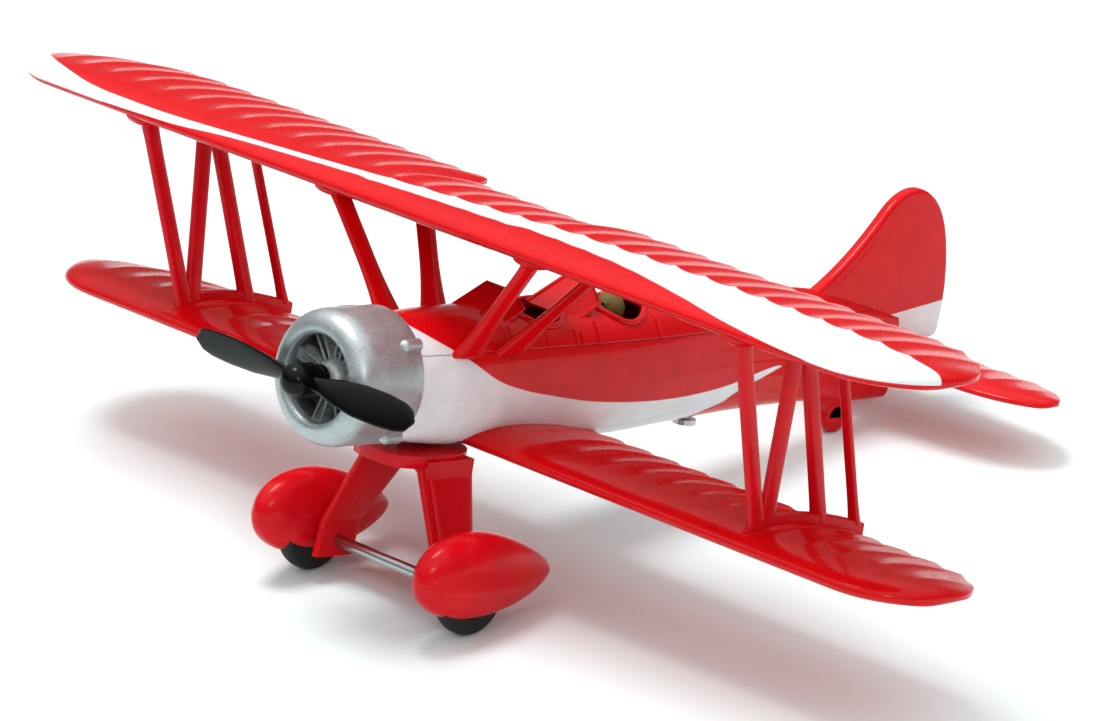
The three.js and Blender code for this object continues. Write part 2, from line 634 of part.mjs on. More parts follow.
// ---- Tail ----
function finAndRudder() {
  const foot = TAIL_HEIGHT + TAIL_THICKNESS / 2 + GAP + 0.1;
  const shape = new THREE.Shape();
  shape.moveTo(FIN_FRONT, foot);
  shape.lineTo(FIN_FRONT, deckAt(FIN_FRONT) - 0.4);
  shape.quadraticCurveTo(FIN_FRONT + 5, deckAt(FIN_FRONT) + 2.5, FIN_FRONT + 9.5, FIN_TOP - 3.2);
  shape.quadraticCurveTo(FIN_FRONT + 12, FIN_TOP + 0.1, FIN_FRONT + 15, FIN_TOP);
  shape.quadraticCurveTo(RUDDER_END - 2.6, FIN_TOP - 0.6, RUDDER_END - 0.9, FIN_TOP - 7.4);
  shape.quadraticCurveTo(RUDDER_END + 0.3, FIN_TOP - 12, RUDDER_END - 0.3, foot + 0.8);
  shape.quadraticCurveTo(RUDDER_END - 0.5, foot, RUDDER_END - 1.6, foot);
  return cut(sidePlate(shape, FIN_THICKNESS, 0.3), fuselageSkin(GAP, FUSELAGE_FRONT, FUSELAGE_END + GAP),
    box(-1.5, 1.5, FIN_FRONT - 1, FUSELAGE_END - 1, foot - 1, deckAt(FUSELAGE_END - 1)));
}

// A turned-up tail wheel moulded in one with the bracket under the fuselage.
function tailWheel() {
  const belly = hullAt(TAIL_WHEEL_AFT);
  const bracket = new THREE.Shape();
  bracket.moveTo(TAIL_WHEEL_AFT - TAIL_BRACKET_LENGTH / 2, belly.bottom + 1);
  bracket.lineTo(TAIL_WHEEL_AFT + TAIL_BRACKET_LENGTH / 2, belly.bottom + 1);
  bracket.lineTo(TAIL_WHEEL_AFT + TAIL_WHEEL_RADIUS * 0.8, TAIL_WHEEL_HEIGHT);
  bracket.lineTo(TAIL_WHEEL_AFT - TAIL_WHEEL_RADIUS * 0.8, TAIL_WHEEL_HEIGHT);
  const disc = roundBar(TAIL_WHEEL_RADIUS, TAIL_WHEEL_WIDTH, 'x').rotateX(SIT_ANGLE)
    .translate(0, TAIL_WHEEL_AFT, TAIL_WHEEL_HEIGHT);
  const whole = join(sidePlate(bracket, TAIL_WHEEL_WIDTH), disc);
  return cut(whole, fuselageSkin(GAP, FUSELAGE_FRONT, FUSELAGE_END));
}

// ---- Landing gear ----
// The nose-up angle at which the main wheels and the tail wheel both touch one level surface.
const apartY = TAIL_WHEEL_AFT - AXLE_AFT;
const apartZ = AXLE_HEIGHT - TAIL_WHEEL_HEIGHT;
const SIT_ANGLE = Math.asin((WHEEL_RADIUS - TAIL_WHEEL_RADIUS) / Math.hypot(apartY, apartZ))
  - Math.atan2(apartZ, apartY);

const PLATE_TOP = -BELLY_DEPTH - GAP;

function axleSlot(width) {
  const radius = AXLE_RADIUS + RUN;
  const [inner, outer] = [HALF_TRACK - width / 2, HALF_TRACK + width / 2];
  return join(
    roundBar(radius, width, 'x').translate(HALF_TRACK, AXLE_AFT, AXLE_HEIGHT),
    box(inner, outer, AXLE_AFT - radius, AXLE_AFT + radius, AXLE_HEIGHT - 12, AXLE_HEIGHT),
  );
}

// One flat leg, from under the belly plate down the inner side of its spat to the axle.
function gearLeg() {
  const top = PLATE_TOP - PLATE_THICKNESS / 2;
  const foot = AXLE_HEIGHT - AXLE_RADIUS - RUN - 1.1;
  const footOut = SPAT_INNER - GAP - LEG_THICKNESS / 2;
  return skin(12, [0, 0.12, 0.62, 0.78, 1], (share, angle) => {
    const chord = THREE.MathUtils.lerp(LEG_TOP_CHORD, LEG_FOOT_CHORD, Math.min(1, share / 0.78));
    const run = Math.min(1, share / 0.72);
    const section = Math.sign(Math.sin(angle)) * Math.abs(Math.sin(angle)) ** 0.5;
    return new THREE.Vector3(
      THREE.MathUtils.lerp(LEG_TOP_OUT, footOut, run) + LEG_THICKNESS / 2 * section,
      THREE.MathUtils.lerp(LEG_TOP_AFT, AXLE_AFT, share) + chord / 2 * Math.cos(angle),
      THREE.MathUtils.lerp(top, foot, share),
    );
  });
}

function bellyPlate() {
  const half = PLATE_WIDTH / 2;
  const shape = new THREE.Shape();
  shape.moveTo(-half, PLATE_FRONT);
  shape.lineTo(half, PLATE_FRONT);
  shape.lineTo(half, PLATE_END - half);
  shape.absarc(0, PLATE_END - half, half, 0, Math.PI, false);
  const depth = PLATE_THICKNESS;
  const plate = new THREE.ExtrudeGeometry(shape, { depth, bevelEnabled: false, curveSegments: 6 });
  return plate.translate(0, 0, PLATE_TOP - PLATE_THICKNESS);
}

function undercarriage() {
  const frame = join(bellyPlate(), gearLeg(), mirrored(gearLeg()));
  const slot = axleSlot(2 * HALF_TRACK);
  const head = roundBar(SCREW_HEAD_RADIUS + GAP, 4, 'z', 12)
    .translate(0, FRONT_SCREW, PLATE_TOP - PLATE_THICKNESS + HEAD_SUNK + GAP - 2);
  return cut(frame, slot, mirrored(slot), screwHole(FRONT_SCREW, PLATE_TOP - 4, PLATE_TOP + 2), head);
}

// A fat teardrop shell over the wheel, open below, with a slot in its inner wall for the axle.
function spat() {
  const middle = SPAT_INNER + SPAT_WIDTH / 2;
  const body = skin(16, [0, 0.05, 0.16, 0.32, 0.5, 0.7, 0.88, 1], (share, angle) => {
    const fat = Math.max(0.12, Math.sin(Math.PI * Math.min(1, share ** 0.72)) ** 0.62);
    const flat = (value) => Math.sign(value) * Math.abs(value) ** 0.8;
    const drop = share > 0.5 ? (share - 0.5) * 1.4 : 0;
    return new THREE.Vector3(
      middle + SPAT_WIDTH / 2 * fat * flat(Math.sin(angle)),
      SPAT_FRONT + share * SPAT_LENGTH,
      SPAT_TOP - SPAT_HEIGHT / 2 - drop * 0.4 + SPAT_HEIGHT / 2 * fat * Math.cos(angle),
    );
  });
  const room = WHEEL_RADIUS + WHEEL_CLEARANCE;
  const half = WHEEL_WIDTH / 2 + WHEEL_CLEARANCE;
  const well = join(
    roundBar(room, 2 * half, 'x', 20).translate(HALF_TRACK, AXLE_AFT, AXLE_HEIGHT),
    box(HALF_TRACK - half, HALF_TRACK + half, AXLE_AFT - room, AXLE_AFT + room, AXLE_HEIGHT - 9, AXLE_HEIGHT),
  );
  const slot = axleSlot(2 * (HALF_TRACK - SPAT_INNER) + 2).translate(-(HALF_TRACK - SPAT_INNER), 0, 0);
  const inboard = keep(slot, box(0, HALF_TRACK, 0, 60, -60, 0));
  return cut(body, well, inboard);
}

function wheel() {
  const disc = roundBar(WHEEL_RADIUS, WHEEL_WIDTH, 'x', 24);
  const dish = roundBar(WHEEL_RADIUS * 0.55, 1, 'x', 16).translate(WHEEL_WIDTH / 2, 0, 0);
  const bore = roundBar(AXLE_RADIUS + PRESS, WHEEL_WIDTH + 2, 'x');
  return cut(disc, dish, bore);
}

function axle() {
  return roundBar(AXLE_RADIUS, 2 * HALF_TRACK + 1.2, 'x');
}

function screw() {
  const head = roundBar(SCREW_HEAD_RADIUS, SCREW_HEAD_HEIGHT, 'z', 12).translate(0, 0, SCREW_HEAD_HEIGHT / 2);
  const shank = roundBar(SCREW_RADIUS - 0.02, SCREW_LENGTH, 'z', 10).translate(0, 0, SCREW_LENGTH / 2 + 0.2);
  const cross = join(box(-0.8, 0.8, -0.15, 0.15, -1, 0.4), box(-0.15, 0.15, -0.8, 0.8, -1, 0.4));
  return cut(join(head, shank), cross);
}

// ---- Finishes ----
const finish = (color, roughness, metalness) => new THREE.MeshStandardMaterial({ color, roughness, metalness });
const redPaint = () => finish('#d4141f', 0.22, 0);
const redPlastic = () => finish('#d5182a', 0.38, 0);
const whitePaint = () => finish('#f1f0ee', 0.25, 0);
const silverPaint = () => finish('#a3a9ab', 0.42, 0.6);
const blackPlastic = () => finish('#171413', 0.2, 0);
const rubber = () => finish('#2a2a2a', 0.7, 0);
const steel = () => finish('#b9bbbd', 0.2, 1);
const darkCasting = () => finish('#3b3d3f', 0.5, 0.5);
const cloth = () => finish('#6e6030', 0.75, 0);

// ---- Assembly ----
const airframe = new THREE.Group();
airframe.rotation.x = -SIT_ANGLE;

function place(name, geometry, material, parent = airframe) {
  const mesh = new THREE.Mesh(facingOut(welded(geometry)), material);
  mesh.name = name;
  parent.add(mesh);
  return mesh;
}

function placePair(name, geometry, material) {
  place(`${name}_left`, geometry, material());
  place(`${name}_right`, mirrored(geometry), material());
}

place('deck_casting', deckCasting(), redPaint());
place('body_casting', bodyCasting(), whitePaint());
place('cockpit_tub', cockpitTub(), darkCasting());
place('front_seat', seat(FRONT_COCKPIT), darkCasting());
place('rear_seat', seat(REAR_COCKPIT), darkCasting());
place('pilot_figure', pilot(), cloth());
place('front_windscreen', windscreen(FRONT_COCKPIT - SCREEN_AHEAD.front), redPaint());
place('rear_windscreen', windscreen(REAR_COCKPIT - SCREEN_AHEAD.rear), redPaint());
place('fin_and_rudder', finAndRudder(), redPaint());
place('tailplane', wingSkin(TAILPLANE), redPaint());
place('upper_wing', wingSkin(UPPER_WING), redPaint());
place('lower_wing', wingSkin(LOWER_WING), redPaint());
placePair('strut_frame', strutFrame(), redPlastic);
placePair('cabane_front', cabaneStrut('front'), redPaint);
placePair('cabane_rear', cabaneStrut('rear'), redPaint);
place('cowl', cowl(), silverPaint());
place('engine_cylinders', engineBlock(), darkCasting());
place('crankcase', crankcase(), darkCasting());
place('propeller_shaft', propellerShaft(), steel());
place('propeller', propeller(), blackPlastic());
place('undercarriage', undercarriage(), redPlastic());
placePair('spat', spat(), redPlastic);
place('tail_wheel', tailWheel(), redPlastic());

// The wheels and their axle sit level with the ground, so that a flat of each tread faces down.
const wheelset = new THREE.Group();
wheelset.position.set(0, AXLE_AFT, AXLE_HEIGHT);
wheelset.rotation.x = SIT_ANGLE;
airframe.add(wheelset);
place('axle', axle(), steel(), wheelset);
for (const [side, out] of [['left', 1], ['right', -1]]) {
  const tyre = place(`wheel_${side}`, out > 0 ? wheel() : mirrored(wheel()), rubber(), wheelset);
  tyre.position.x = out * HALF_TRACK;
}

const frontScrew = place('front_screw', screw(), steel());
frontScrew.position.set(0, FRONT_SCREW, PLATE_TOP - PLATE_THICKNESS + HEAD_SUNK - SCREW_HEAD_HEIGHT);
const rearScrew = place('rear_screw', screw(), steel());
rearScrew.position.set(0, REAR_SCREW, hullAt(REAR_SCREW).bottom - SCREW_HEAD_HEIGHT - GAP);

// The model's origin is the bottom centre of its box, on the surface that it stands on.
const model = new THREE.Group();
model.add(airframe);
const extent = new THREE.Box3().setFromObject(model, true);
const middle = extent.getCenter(new THREE.Vector3());
airframe.position.set(-middle.x, -middle.y, -extent.min.z);

export default model;
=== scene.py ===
import json
import math

import bmesh
import bpy
import numpy as np
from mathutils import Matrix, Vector

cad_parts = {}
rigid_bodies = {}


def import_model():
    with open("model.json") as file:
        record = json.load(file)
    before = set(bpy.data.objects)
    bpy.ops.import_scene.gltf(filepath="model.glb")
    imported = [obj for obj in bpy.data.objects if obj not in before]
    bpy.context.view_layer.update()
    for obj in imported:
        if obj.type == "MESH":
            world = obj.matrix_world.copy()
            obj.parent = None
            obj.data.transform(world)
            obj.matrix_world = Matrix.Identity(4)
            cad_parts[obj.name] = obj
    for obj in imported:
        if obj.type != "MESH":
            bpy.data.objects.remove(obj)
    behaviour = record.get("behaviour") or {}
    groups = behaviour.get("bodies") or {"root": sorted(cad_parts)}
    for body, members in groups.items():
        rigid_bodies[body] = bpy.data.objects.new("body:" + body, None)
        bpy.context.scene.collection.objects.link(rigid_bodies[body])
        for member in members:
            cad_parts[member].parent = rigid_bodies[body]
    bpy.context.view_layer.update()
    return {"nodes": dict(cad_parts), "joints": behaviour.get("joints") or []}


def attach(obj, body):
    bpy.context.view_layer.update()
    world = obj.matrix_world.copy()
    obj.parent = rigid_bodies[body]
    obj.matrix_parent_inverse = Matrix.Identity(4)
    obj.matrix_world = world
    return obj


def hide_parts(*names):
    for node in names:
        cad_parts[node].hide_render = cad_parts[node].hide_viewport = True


# The start-up scene's own objects go first.
for left_over in list(bpy.data.objects):
    bpy.data.objects.remove(left_over)
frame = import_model()

# ---- The airframe's own axes ----
# Shapes are written in millimetres from the middle of the cowl's front face: x to port, y aft, z up.
# The thrust line is y, so the frame's propeller joint gives the direction that y points in.
BLADE_PLANE = -1.5
spin = next(joint for joint in frame["joints"] if joint["name"] == "propeller_spin")
aftward = -Vector(spin["axis"])
upward = Vector((1, 0, 0)).cross(aftward)
nose = np.array(Vector(spin["pos_m"]) - aftward * BLADE_PLANE / 1000)
AXES = np.array([[1, 0, 0], list(aftward), list(upward)]) / 1000


def to_world(points):
    """Airframe millimetres to the shared frame's metres."""
    return np.asarray(points, float) @ AXES + nose


# ---- Deck casting ----
# The top half of the fuselage, die-cast in zinc and sprayed in red gloss enamel, white at the nose.
# It is a 1 mm shell with two oval cockpits, each with a raised rim, and sits on the body along a seam.
HULL_FRONT = 9.3
HULL_LENGTH = 81
HULL_WIDTH = 13
DECK_HEIGHT = 6.7
BELLY_DEPTH = 8.3
SEAM = 3.3
WALL = 1
# Each row: share of the length, of half the width, of the deck height, of the belly depth; squareness.
HULL = np.array([
    [0, 0.98, 0.95, 0.83, 2],
    [0.08, 1, 1, 0.94, 2.2],
    [0.25, 1, 1, 1, 2.4],
    [0.42, 0.95, 1, 1, 2.4],
    [0.52, 0.86, 1.06, 0.95, 2.2],
    [0.68, 0.64, 1.01, 0.87, 2],
    [0.84, 0.4, 0.86, 0.85, 2],
    [0.93, 0.27, 0.62, 0.9, 2.2],
    [1, 0.2, 0.4, 0.88, 2.6],
])


def hull(aft):
    """Half width, top, bottom and squareness of the fuselage at a station, eased between the rows."""
    share = np.clip((np.asarray(aft, float) - HULL_FRONT) / HULL_LENGTH, 0, 1)
    knots = HULL[:, 0]
    k = np.clip(np.searchsorted(knots, share, side="right") - 1, 0, len(knots) - 2)
    step = (knots[k + 1] - knots[k])[..., None]
    t = (share - knots[k])[..., None] / step
    slopes = np.gradient(HULL[:, 1:], knots, axis=0)
    row = (HULL[k, 1:] * (1 + 2 * t) * (1 - t) ** 2 + slopes[k] * step * t * (1 - t) ** 2
           + HULL[k + 1, 1:] * t ** 2 * (3 - 2 * t) + slopes[k + 1] * step * t ** 2 * (t - 1))
    return row[..., 0] * HULL_WIDTH / 2, row[..., 1] * DECK_HEIGHT, -row[..., 2] * BELLY_DEPTH, row[..., 3]


def hull_point(aft, angle, grow=0.0):
    """A point of the fuselage skin; the angle runs from the top to port."""
    half, top, bottom, square = hull(aft)
    sine, cosine = np.sin(angle), np.cos(angle)
    x = (half + grow) * np.sign(sine) * np.abs(sine) ** (2 / square)
    z = (top + bottom) / 2 + ((top - bottom) / 2 + grow) * np.sign(cosine) * np.abs(cosine) ** (2 / square)
    return np.stack(np.broadcast_arrays(x, aft, z), -1)


def angle_at_height(aft, height):
    """The angle at which the port side of the fuselage stands at a height."""
    half, top, bottom, square = hull(aft)
    share = np.clip((height - (top + bottom) / 2) / ((top - bottom) / 2), -1, 1)
    return np.arccos(np.sign(share) * np.abs(share) ** (square / 2))


def deck_height(x, aft):
    """The height of the fuselage's top skin at a place across it."""
    half, top, bottom, square = hull(aft)
    share = np.clip(np.abs(x) / half, 0, 1)
    return (top + bottom) / 2 + (top - bottom) / 2 * (1 - share ** square) ** (1 / square)


def grid_faces(rows, columns, closed=False):
    """Faces of a grid of points, row by row; a closed grid joins its last column to its first."""
    wide = columns if closed else columns - 1
    return [(i * columns + j, i * columns + (j + 1) % columns, (i + 1) * columns + (j + 1) % columns,
             (i + 1) * columns + j) for i in range(rows - 1) for j in range(wide)]


def loft(rings, caps=True, ends_joined=False):
    """A skin through closed rings of points."""
    rings = np.asarray(rings, float)
    if ends_joined:
        rings = np.concatenate([rings, rings[:1]])
    rows, columns = rings.shape[:2]
    faces = grid_faces(rows, columns, closed=True)
    if caps and not ends_joined:
        faces += [tuple(range(columns)), tuple(range((rows - 1) * columns, rows * columns))]
    return rings.reshape(-1, 3), faces


def tube(path, radius, sides=10, closed=False):
    """A round bead along a path; the radius may change from point to point."""
    path = np.asarray(path, float)
    ahead = np.roll(path, -1, 0) - np.roll(path, 1, 0)
    if not closed:
        ahead[0], ahead[-1] = path[1] - path[0], path[-1] - path[-2]
    ahead /= np.linalg.norm(ahead, axis=1)[:, None]
    spare = np.array([0, 0, 1.0]) if abs(ahead[:, 2]).mean() < 0.8 else np.array([1.0, 0, 0])
    across = np.cross(ahead, spare)
    across /= np.linalg.norm(across, axis=1)[:, None]
    over = np.cross(across, ahead)
    radius = np.broadcast_to(radius, len(path))[:, None, None]
    turn = np.linspace(0, 2 * np.pi, sides, endpoint=False)[None, :, None]
    rings = path[:, None] + radius * (np.cos(turn) * across[:, None] + np.sin(turn) * over[:, None])
    return loft(rings, ends_joined=closed)


def join(*shapes):
    """Several (points, faces) shapes as one."""
    points, faces, start = [], [], 0
    for some_points, some_faces in shapes:
        points.append(np.asarray(some_points, float))
        faces += [tuple(start + i for i in face) for face in some_faces]
        start += len(some_points)
    return np.concatenate(points), faces


def add_piece(name, shape, material, body="airframe", replaces=(), sharp=38,
              marks=None, bevel=0.0, wall=0.0):
    """A mesh from points in the airframe's millimetres, riding on a CAD body and standing for CAD nodes."""
    points, faces = shape
    mesh = bpy.data.meshes.new(name)
    mesh.from_pydata(to_world(points).tolist(), [], [tuple(int(i) for i in face) for face in faces])
    for mark, values in (marks or {}).items():
        layer = mesh.attributes.new(mark, "FLOAT", "POINT")
        layer.data.foreach_set("value", np.asarray(values, np.float32))
    edit = bmesh.new()
    edit.from_mesh(mesh)
    bmesh.ops.remove_doubles(edit, verts=edit.verts, dist=2e-6)
    bmesh.ops.recalc_face_normals(edit, faces=edit.faces)
    if bevel:
        edges = [e for e in edit.edges if len(e.link_faces) == 2 and e.calc_face_angle(0) > math.radians(28)]
        bmesh.ops.bevel(edit, geom=edges, offset=bevel / 1000, segments=3, profile=0.6,
                        affect="EDGES", clamp_overlap=True)
    middle = sum((v.co for v in edit.verts), Vector()) / len(edit.verts)
    outward = sum(f.normal.dot(f.calc_center_median() - middle) * f.calc_area() for f in edit.faces)
    if wall and outward < 0:
        bmesh.ops.reverse_faces(edit, faces=edit.faces)
    edit.to_mesh(mesh)
    edit.free()
    mesh.polygons.foreach_set("use_smooth", [True] * len(mesh.polygons))
    mesh.set_sharp_from_angle(angle=math.radians(sharp))
    mesh.materials.append(material)
    piece = bpy.data.objects.new(name, mesh)
    bpy.context.scene.collection.objects.link(piece)
    if wall:
        shell = piece.modifiers.new("wall", "SOLIDIFY")
        shell.thickness = wall / 1000
        shell.offset = -1
    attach(piece, body)
    if replaces:
        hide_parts(*replaces)
    return piece


def linear(code):
    """A colour written as #rrggbb, in the linear values that shaders take."""
    shares = [int(code[i:i + 2], 16) / 255 for i in (1, 3, 5)]
    return [s / 12.92 if s <= 0.04045 else ((s + 0.055) / 1.055) ** 2.4 for s in shares] + [1]


def add(tree, kind, values=None, links=None, **settings):
    """One node, with its settings, its socket values and what feeds its sockets."""
    node = tree.nodes.new(kind)
    for key, value in settings.items():
        setattr(node, key, value)
    for key, value in (values or {}).items():
        node.inputs[key].default_value = value
    for key, source in (links or {}).items():
        output = source.outputs[0] if isinstance(source, bpy.types.Node) else source
        tree.links.new(output, node.inputs[key])
    return node


def new_material(name, values):
    """A material with one principled shader, and the place on the object in millimetres."""
    material = bpy.data.materials.new(name)
    material.use_nodes = True
    tree = material.node_tree
    tree.nodes.clear()
    shader = add(tree, "ShaderNodeBsdfPrincipled", values)
    add(tree, "ShaderNodeOutputMaterial", links={"Surface": shader})
    place = add(tree, "ShaderNodeTexCoord")
    scaled = add(tree, "ShaderNodeVectorMath", {1: (1000, 1000, 1000)}, {0: place.outputs["Object"]},
                 operation="MULTIPLY")
    return material, tree, shader, scaled


def gloss_paint(name, red, white=None, coat=0.24, depth=0.012):
    """Sprayed enamel on metal: the coat gives hard, bright reflections, broken by a fine orange peel,
    with small changes of shade where the spray lies thicker. With a white, the two meet at a crisp,
    slightly proud mask line wherever the mark named white crosses nought."""
    material, tree, shader, place = new_material(name, {
        "Specular IOR Level": 0.06, "Coat Weight": coat, "Coat Roughness": 0.02, "Coat IOR": 1.5,
    })
    cloud = add(tree, "ShaderNodeTexNoise", {"Scale": 0.35, "Detail": 3}, {"Vector": place})
    shade = add(tree, "ShaderNodeMapRange", {
        "From Min": 0.3, "From Max": 0.7, "To Min": 0.93, "To Max": 1.05,
    }, {"Value": cloud})
    colour = add(tree, "ShaderNodeMix", {0: 0.0, 6: linear(red), 7: linear(white or red)}, data_type="RGBA")
    tinted = add(tree, "ShaderNodeVectorMath", None, {0: colour.outputs[2], 1: shade}, operation="MULTIPLY")
    tree.links.new(tinted.outputs[0], shader.inputs["Base Color"])
    peel = add(tree, "ShaderNodeTexNoise", {"Scale": 1.6, "Detail": 2}, {"Vector": place})
    speck = add(tree, "ShaderNodeTexNoise", {"Scale": 9, "Detail": 4}, {"Vector": place})
    rough = add(tree, "ShaderNodeMapRange", {"To Min": 0.2, "To Max": 0.34}, {"Value": speck.outputs[0]})
    tree.links.new(rough.outputs[0], shader.inputs["Roughness"])
    height = peel.outputs[0]
    if white:
        mark = add(tree, "ShaderNodeAttribute", attribute_name="white")
        wobble = add(tree, "ShaderNodeMath", {1: 0.10}, {0: speck.outputs[0]}, operation="MULTIPLY")
        side = add(tree, "ShaderNodeMath", None, {0: mark.outputs["Fac"], 1: wobble}, operation="ADD")
        crisp = add(tree, "ShaderNodeMapRange", {"From Min": 0.0, "From Max": 0.09}, {"Value": side})
        tree.links.new(crisp.outputs[0], colour.inputs[0])
        raised = add(tree, "ShaderNodeMath", {1: 0.9}, {0: crisp}, operation="MULTIPLY")
        both = add(tree, "ShaderNodeMath", None, {0: raised, 1: peel.outputs[0]}, operation="ADD")
        height = both.outputs[0]
    bump = add(tree, "ShaderNodeBump", {"Strength": 0.5, "Distance": depth / 1000}, {"Height": height})
    tree.links.new(bump.outputs[0], shader.inputs["Normal"])
    tree.links.new(bump.outputs[0], shader.inputs["Coat Normal"])
    return material


RED, WHITE = "#cf0810", "#e3e5e7"
two_tone = gloss_paint("red_white_enamel", RED, WHITE)

# Where each cockpit's opening begins; both are the same oval.
COCKPITS = {"front": 25.4, "rear": 37.8}
COCKPIT_LENGTH = 8.6
COCKPIT_HALF = 4.4
# The upper and lower edge of the white sweep on the side: each row is a place aft and a height.
SIDE_LINE = np.array([[9.3, 6.4], [11.1, 5.4], [16.6, 2.67], [21.1, 0.23], [25, -0.95], [30.3, -2],
                      [35.5, -2.85], [40.7, -3.33], [46.7, -3.62], [53.7, -3.52], [60.1, -2.83],
                      [62.8, -2.27], [69.2, -1.38], [95, -20]])
LOW_LINE = np.array([[9.3, -30], [52.5, -12], [56.5, -6.4], [59.6, -5.28], [61.05, -4.28], [63.3, -3.23],
                     [69.2, -1.38], [95, 20]])


def eased(x, knots):
    """A smooth line through the knots, each of which gives a place and a value."""
    at, value = knots.T
    k = np.clip(np.searchsorted(at, x, side="right") - 1, 0, len(at) - 2)
    step = at[k + 1] - at[k]
    t = np.clip((x - at[k]) / step, 0, 1)
    slope = np.gradient(value, at)
    return (value[k] * (1 + 2 * t) * (1 - t) ** 2 + slope[k] * step * t * (1 - t) ** 2
            + value[k + 1] * t ** 2 * (3 - 2 * t) + slope[k + 1] * step * t ** 2 * (t - 1))


def side_white(points):
    """How far inside the white of the fuselage's side a point lies, in millimetres."""
    below = eased(points[:, 1], SIDE_LINE) - points[:, 2]
    above = points[:, 2] - np.interp(points[:, 1], *LOW_LINE.T)
    return np.minimum(below, above) * 0.93


def cockpit_reach(points, middle):
    """How far out from a cockpit's middle points lie, where 1 is the edge of the opening."""
    return np.hypot(points[..., 0] / COCKPIT_HALF, (points[..., 1] - middle) / (COCKPIT_LENGTH / 2))


def deck_shape():
    """The top skin as a grid, with the cells inside each cockpit left out and its edge made oval."""
    stations = np.arange(HULL_FRONT, 88.2, 0.36)
    shares = np.linspace(-1, 1, 73)
    angles = angle_at_height(stations, SEAM + 0.03)
    rows = [hull_point(y, angle * shares) for y, angle in zip(stations, angles)]
    points = np.array(rows).reshape(-1, 3)
    faces = grid_faces(len(stations), len(shares))
    for front in COCKPITS.values():
        middle = front + COCKPIT_LENGTH / 2
        cells = np.array(faces)
        inside = cockpit_reach(points[cells].mean(1), middle) < 1
        edge = np.intersect1d(cells[inside], cells[~inside])
        scale = 1 / cockpit_reach(points[edge], middle)
        points[edge, 0] *= scale
        points[edge, 1] = middle + (points[edge, 1] - middle) * scale
        points[edge, 2] = deck_height(points[edge, 0], points[edge, 1])
        faces = [tuple(face) for face in cells[~inside]]
    return points, faces


points, faces = deck_shape()
add_piece("deck_casting_skin", (points, faces), two_tone, replaces=["deck_casting"],
          marks={"white": side_white(points)}, wall=WALL)

# The raised rims round the cockpits, the half-round ribs down to the seam, the louvres and the door's edge.
red_gloss = gloss_paint("red_enamel", RED)
beads = []
for front in COCKPITS.values():
    turn = np.linspace(0, 2 * np.pi, 72, endpoint=False)
    x = (COCKPIT_HALF + 0.08) * np.sin(turn)
    y = front + COCKPIT_LENGTH / 2 + (COCKPIT_LENGTH / 2 + 0.08) * np.cos(turn)
    beads.append(tube(np.stack([x, y, deck_height(x, y) + 0.05], 1), 0.34, closed=True))
for port in (1, -1):
    for y, start in ((33.9, 4.6), (36.5, 5.4), (46.2, 5.2)):
        heights = np.linspace(start, SEAM + 0.1, 10)
        angles = angle_at_height(y, heights) * port
        beads.append(tube(hull_point(np.full(10, y), angles), 0.24))
    for row in range(3):
        angles = np.linspace(0.62, 0.9, 8) * port
        beads.append(tube(hull_point(np.full(8, 21.6 + 0.85 * row), angles), 0.2))
    for y in (28.5, 32.9):
        angles = angle_at_height(y, np.linspace(4.9, SEAM + 0.1, 8)) * port
        beads.append(tube(hull_point(np.full(8, y), angles), 0.16))
    along = np.linspace(28.5, 32.9, 12)
    beads.append(tube(hull_point(along, angle_at_height(along, 4.9) * port), 0.16))
add_piece("cockpit_rims", join(*beads), red_gloss)

# ---- Body casting ----
# The lower half of the fuselage, cast and painted like the deck, with a white sweep along its side.
# It is let in over the lower wing, and low stringers show along its sides.
WING_T = 2.9
CAMBER = 0.5
EDGE = 0.5
CUTOUT_HALF = 10
CUTOUT_EASE = 1.6


def half_thickness(share):
    """Half the thickness of a wing one unit thick, from its blunt nose to its thin tail."""
    return (1.4845 * np.sqrt(share) - 0.63 * share - 1.758 * share ** 2
            + 1.4215 * share ** 3 - 0.5075 * share ** 4)


# Each wing: half span, chord, place of its front edge, height, thickness, sweep, droop of its rear edge,
# how far in the rounded tip begins in front and behind, and the depth of a cut-out over the cockpits.
LOWER = dict(half=66, chord=19.6, front=19.5, height=-6.7, thick=WING_T, sweep=0, droop=0.5,
             front_tip=8.5, rear_tip=10.5, cutout=0)


def tip_fade(wing, out, length):
    """One inboard, falling in a quarter of an ellipse to almost nothing at the wing tip."""
    into = np.clip((out - wing["half"] + length) / length, 0, 1)
    return np.maximum(0.03, np.sqrt(1 - into ** 2))


def planform(wing, out):
    """Front edge, rear edge and thickness of a wing at distances out from the centreline."""
    nose_fade = tip_fade(wing, out, wing["front_tip"])
    tail_fade = tip_fade(wing, out, wing["rear_tip"])
    recess = np.clip((CUTOUT_HALF + CUTOUT_EASE - out) / CUTOUT_EASE, 0, 1)
    swept = wing["front"] + wing["sweep"] * out / wing["half"]
    chord = wing["chord"] - (swept - wing["front"])
    front = swept + 0.45 * chord * (1 - nose_fade)
    rear = swept + chord - 0.55 * chord * (1 - tail_fade) - wing["cutout"] * recess
    return front, rear, wing["thick"] * (0.3 + 0.7 * tail_fade)


def wing_top(wing, out, aft):
    """The height of a wing's top skin, between its ribs."""
    front, rear, thick = planform(wing, out)
    share = np.clip((aft - front) / (rear - front), 0, 1)
    rise = CAMBER * wing["thick"] / WING_T * 4 * share * (1 - share)
    middle = wing["height"] - wing["droop"] * share + rise
    return middle + thick * half_thickness(share) + share * EDGE / 2


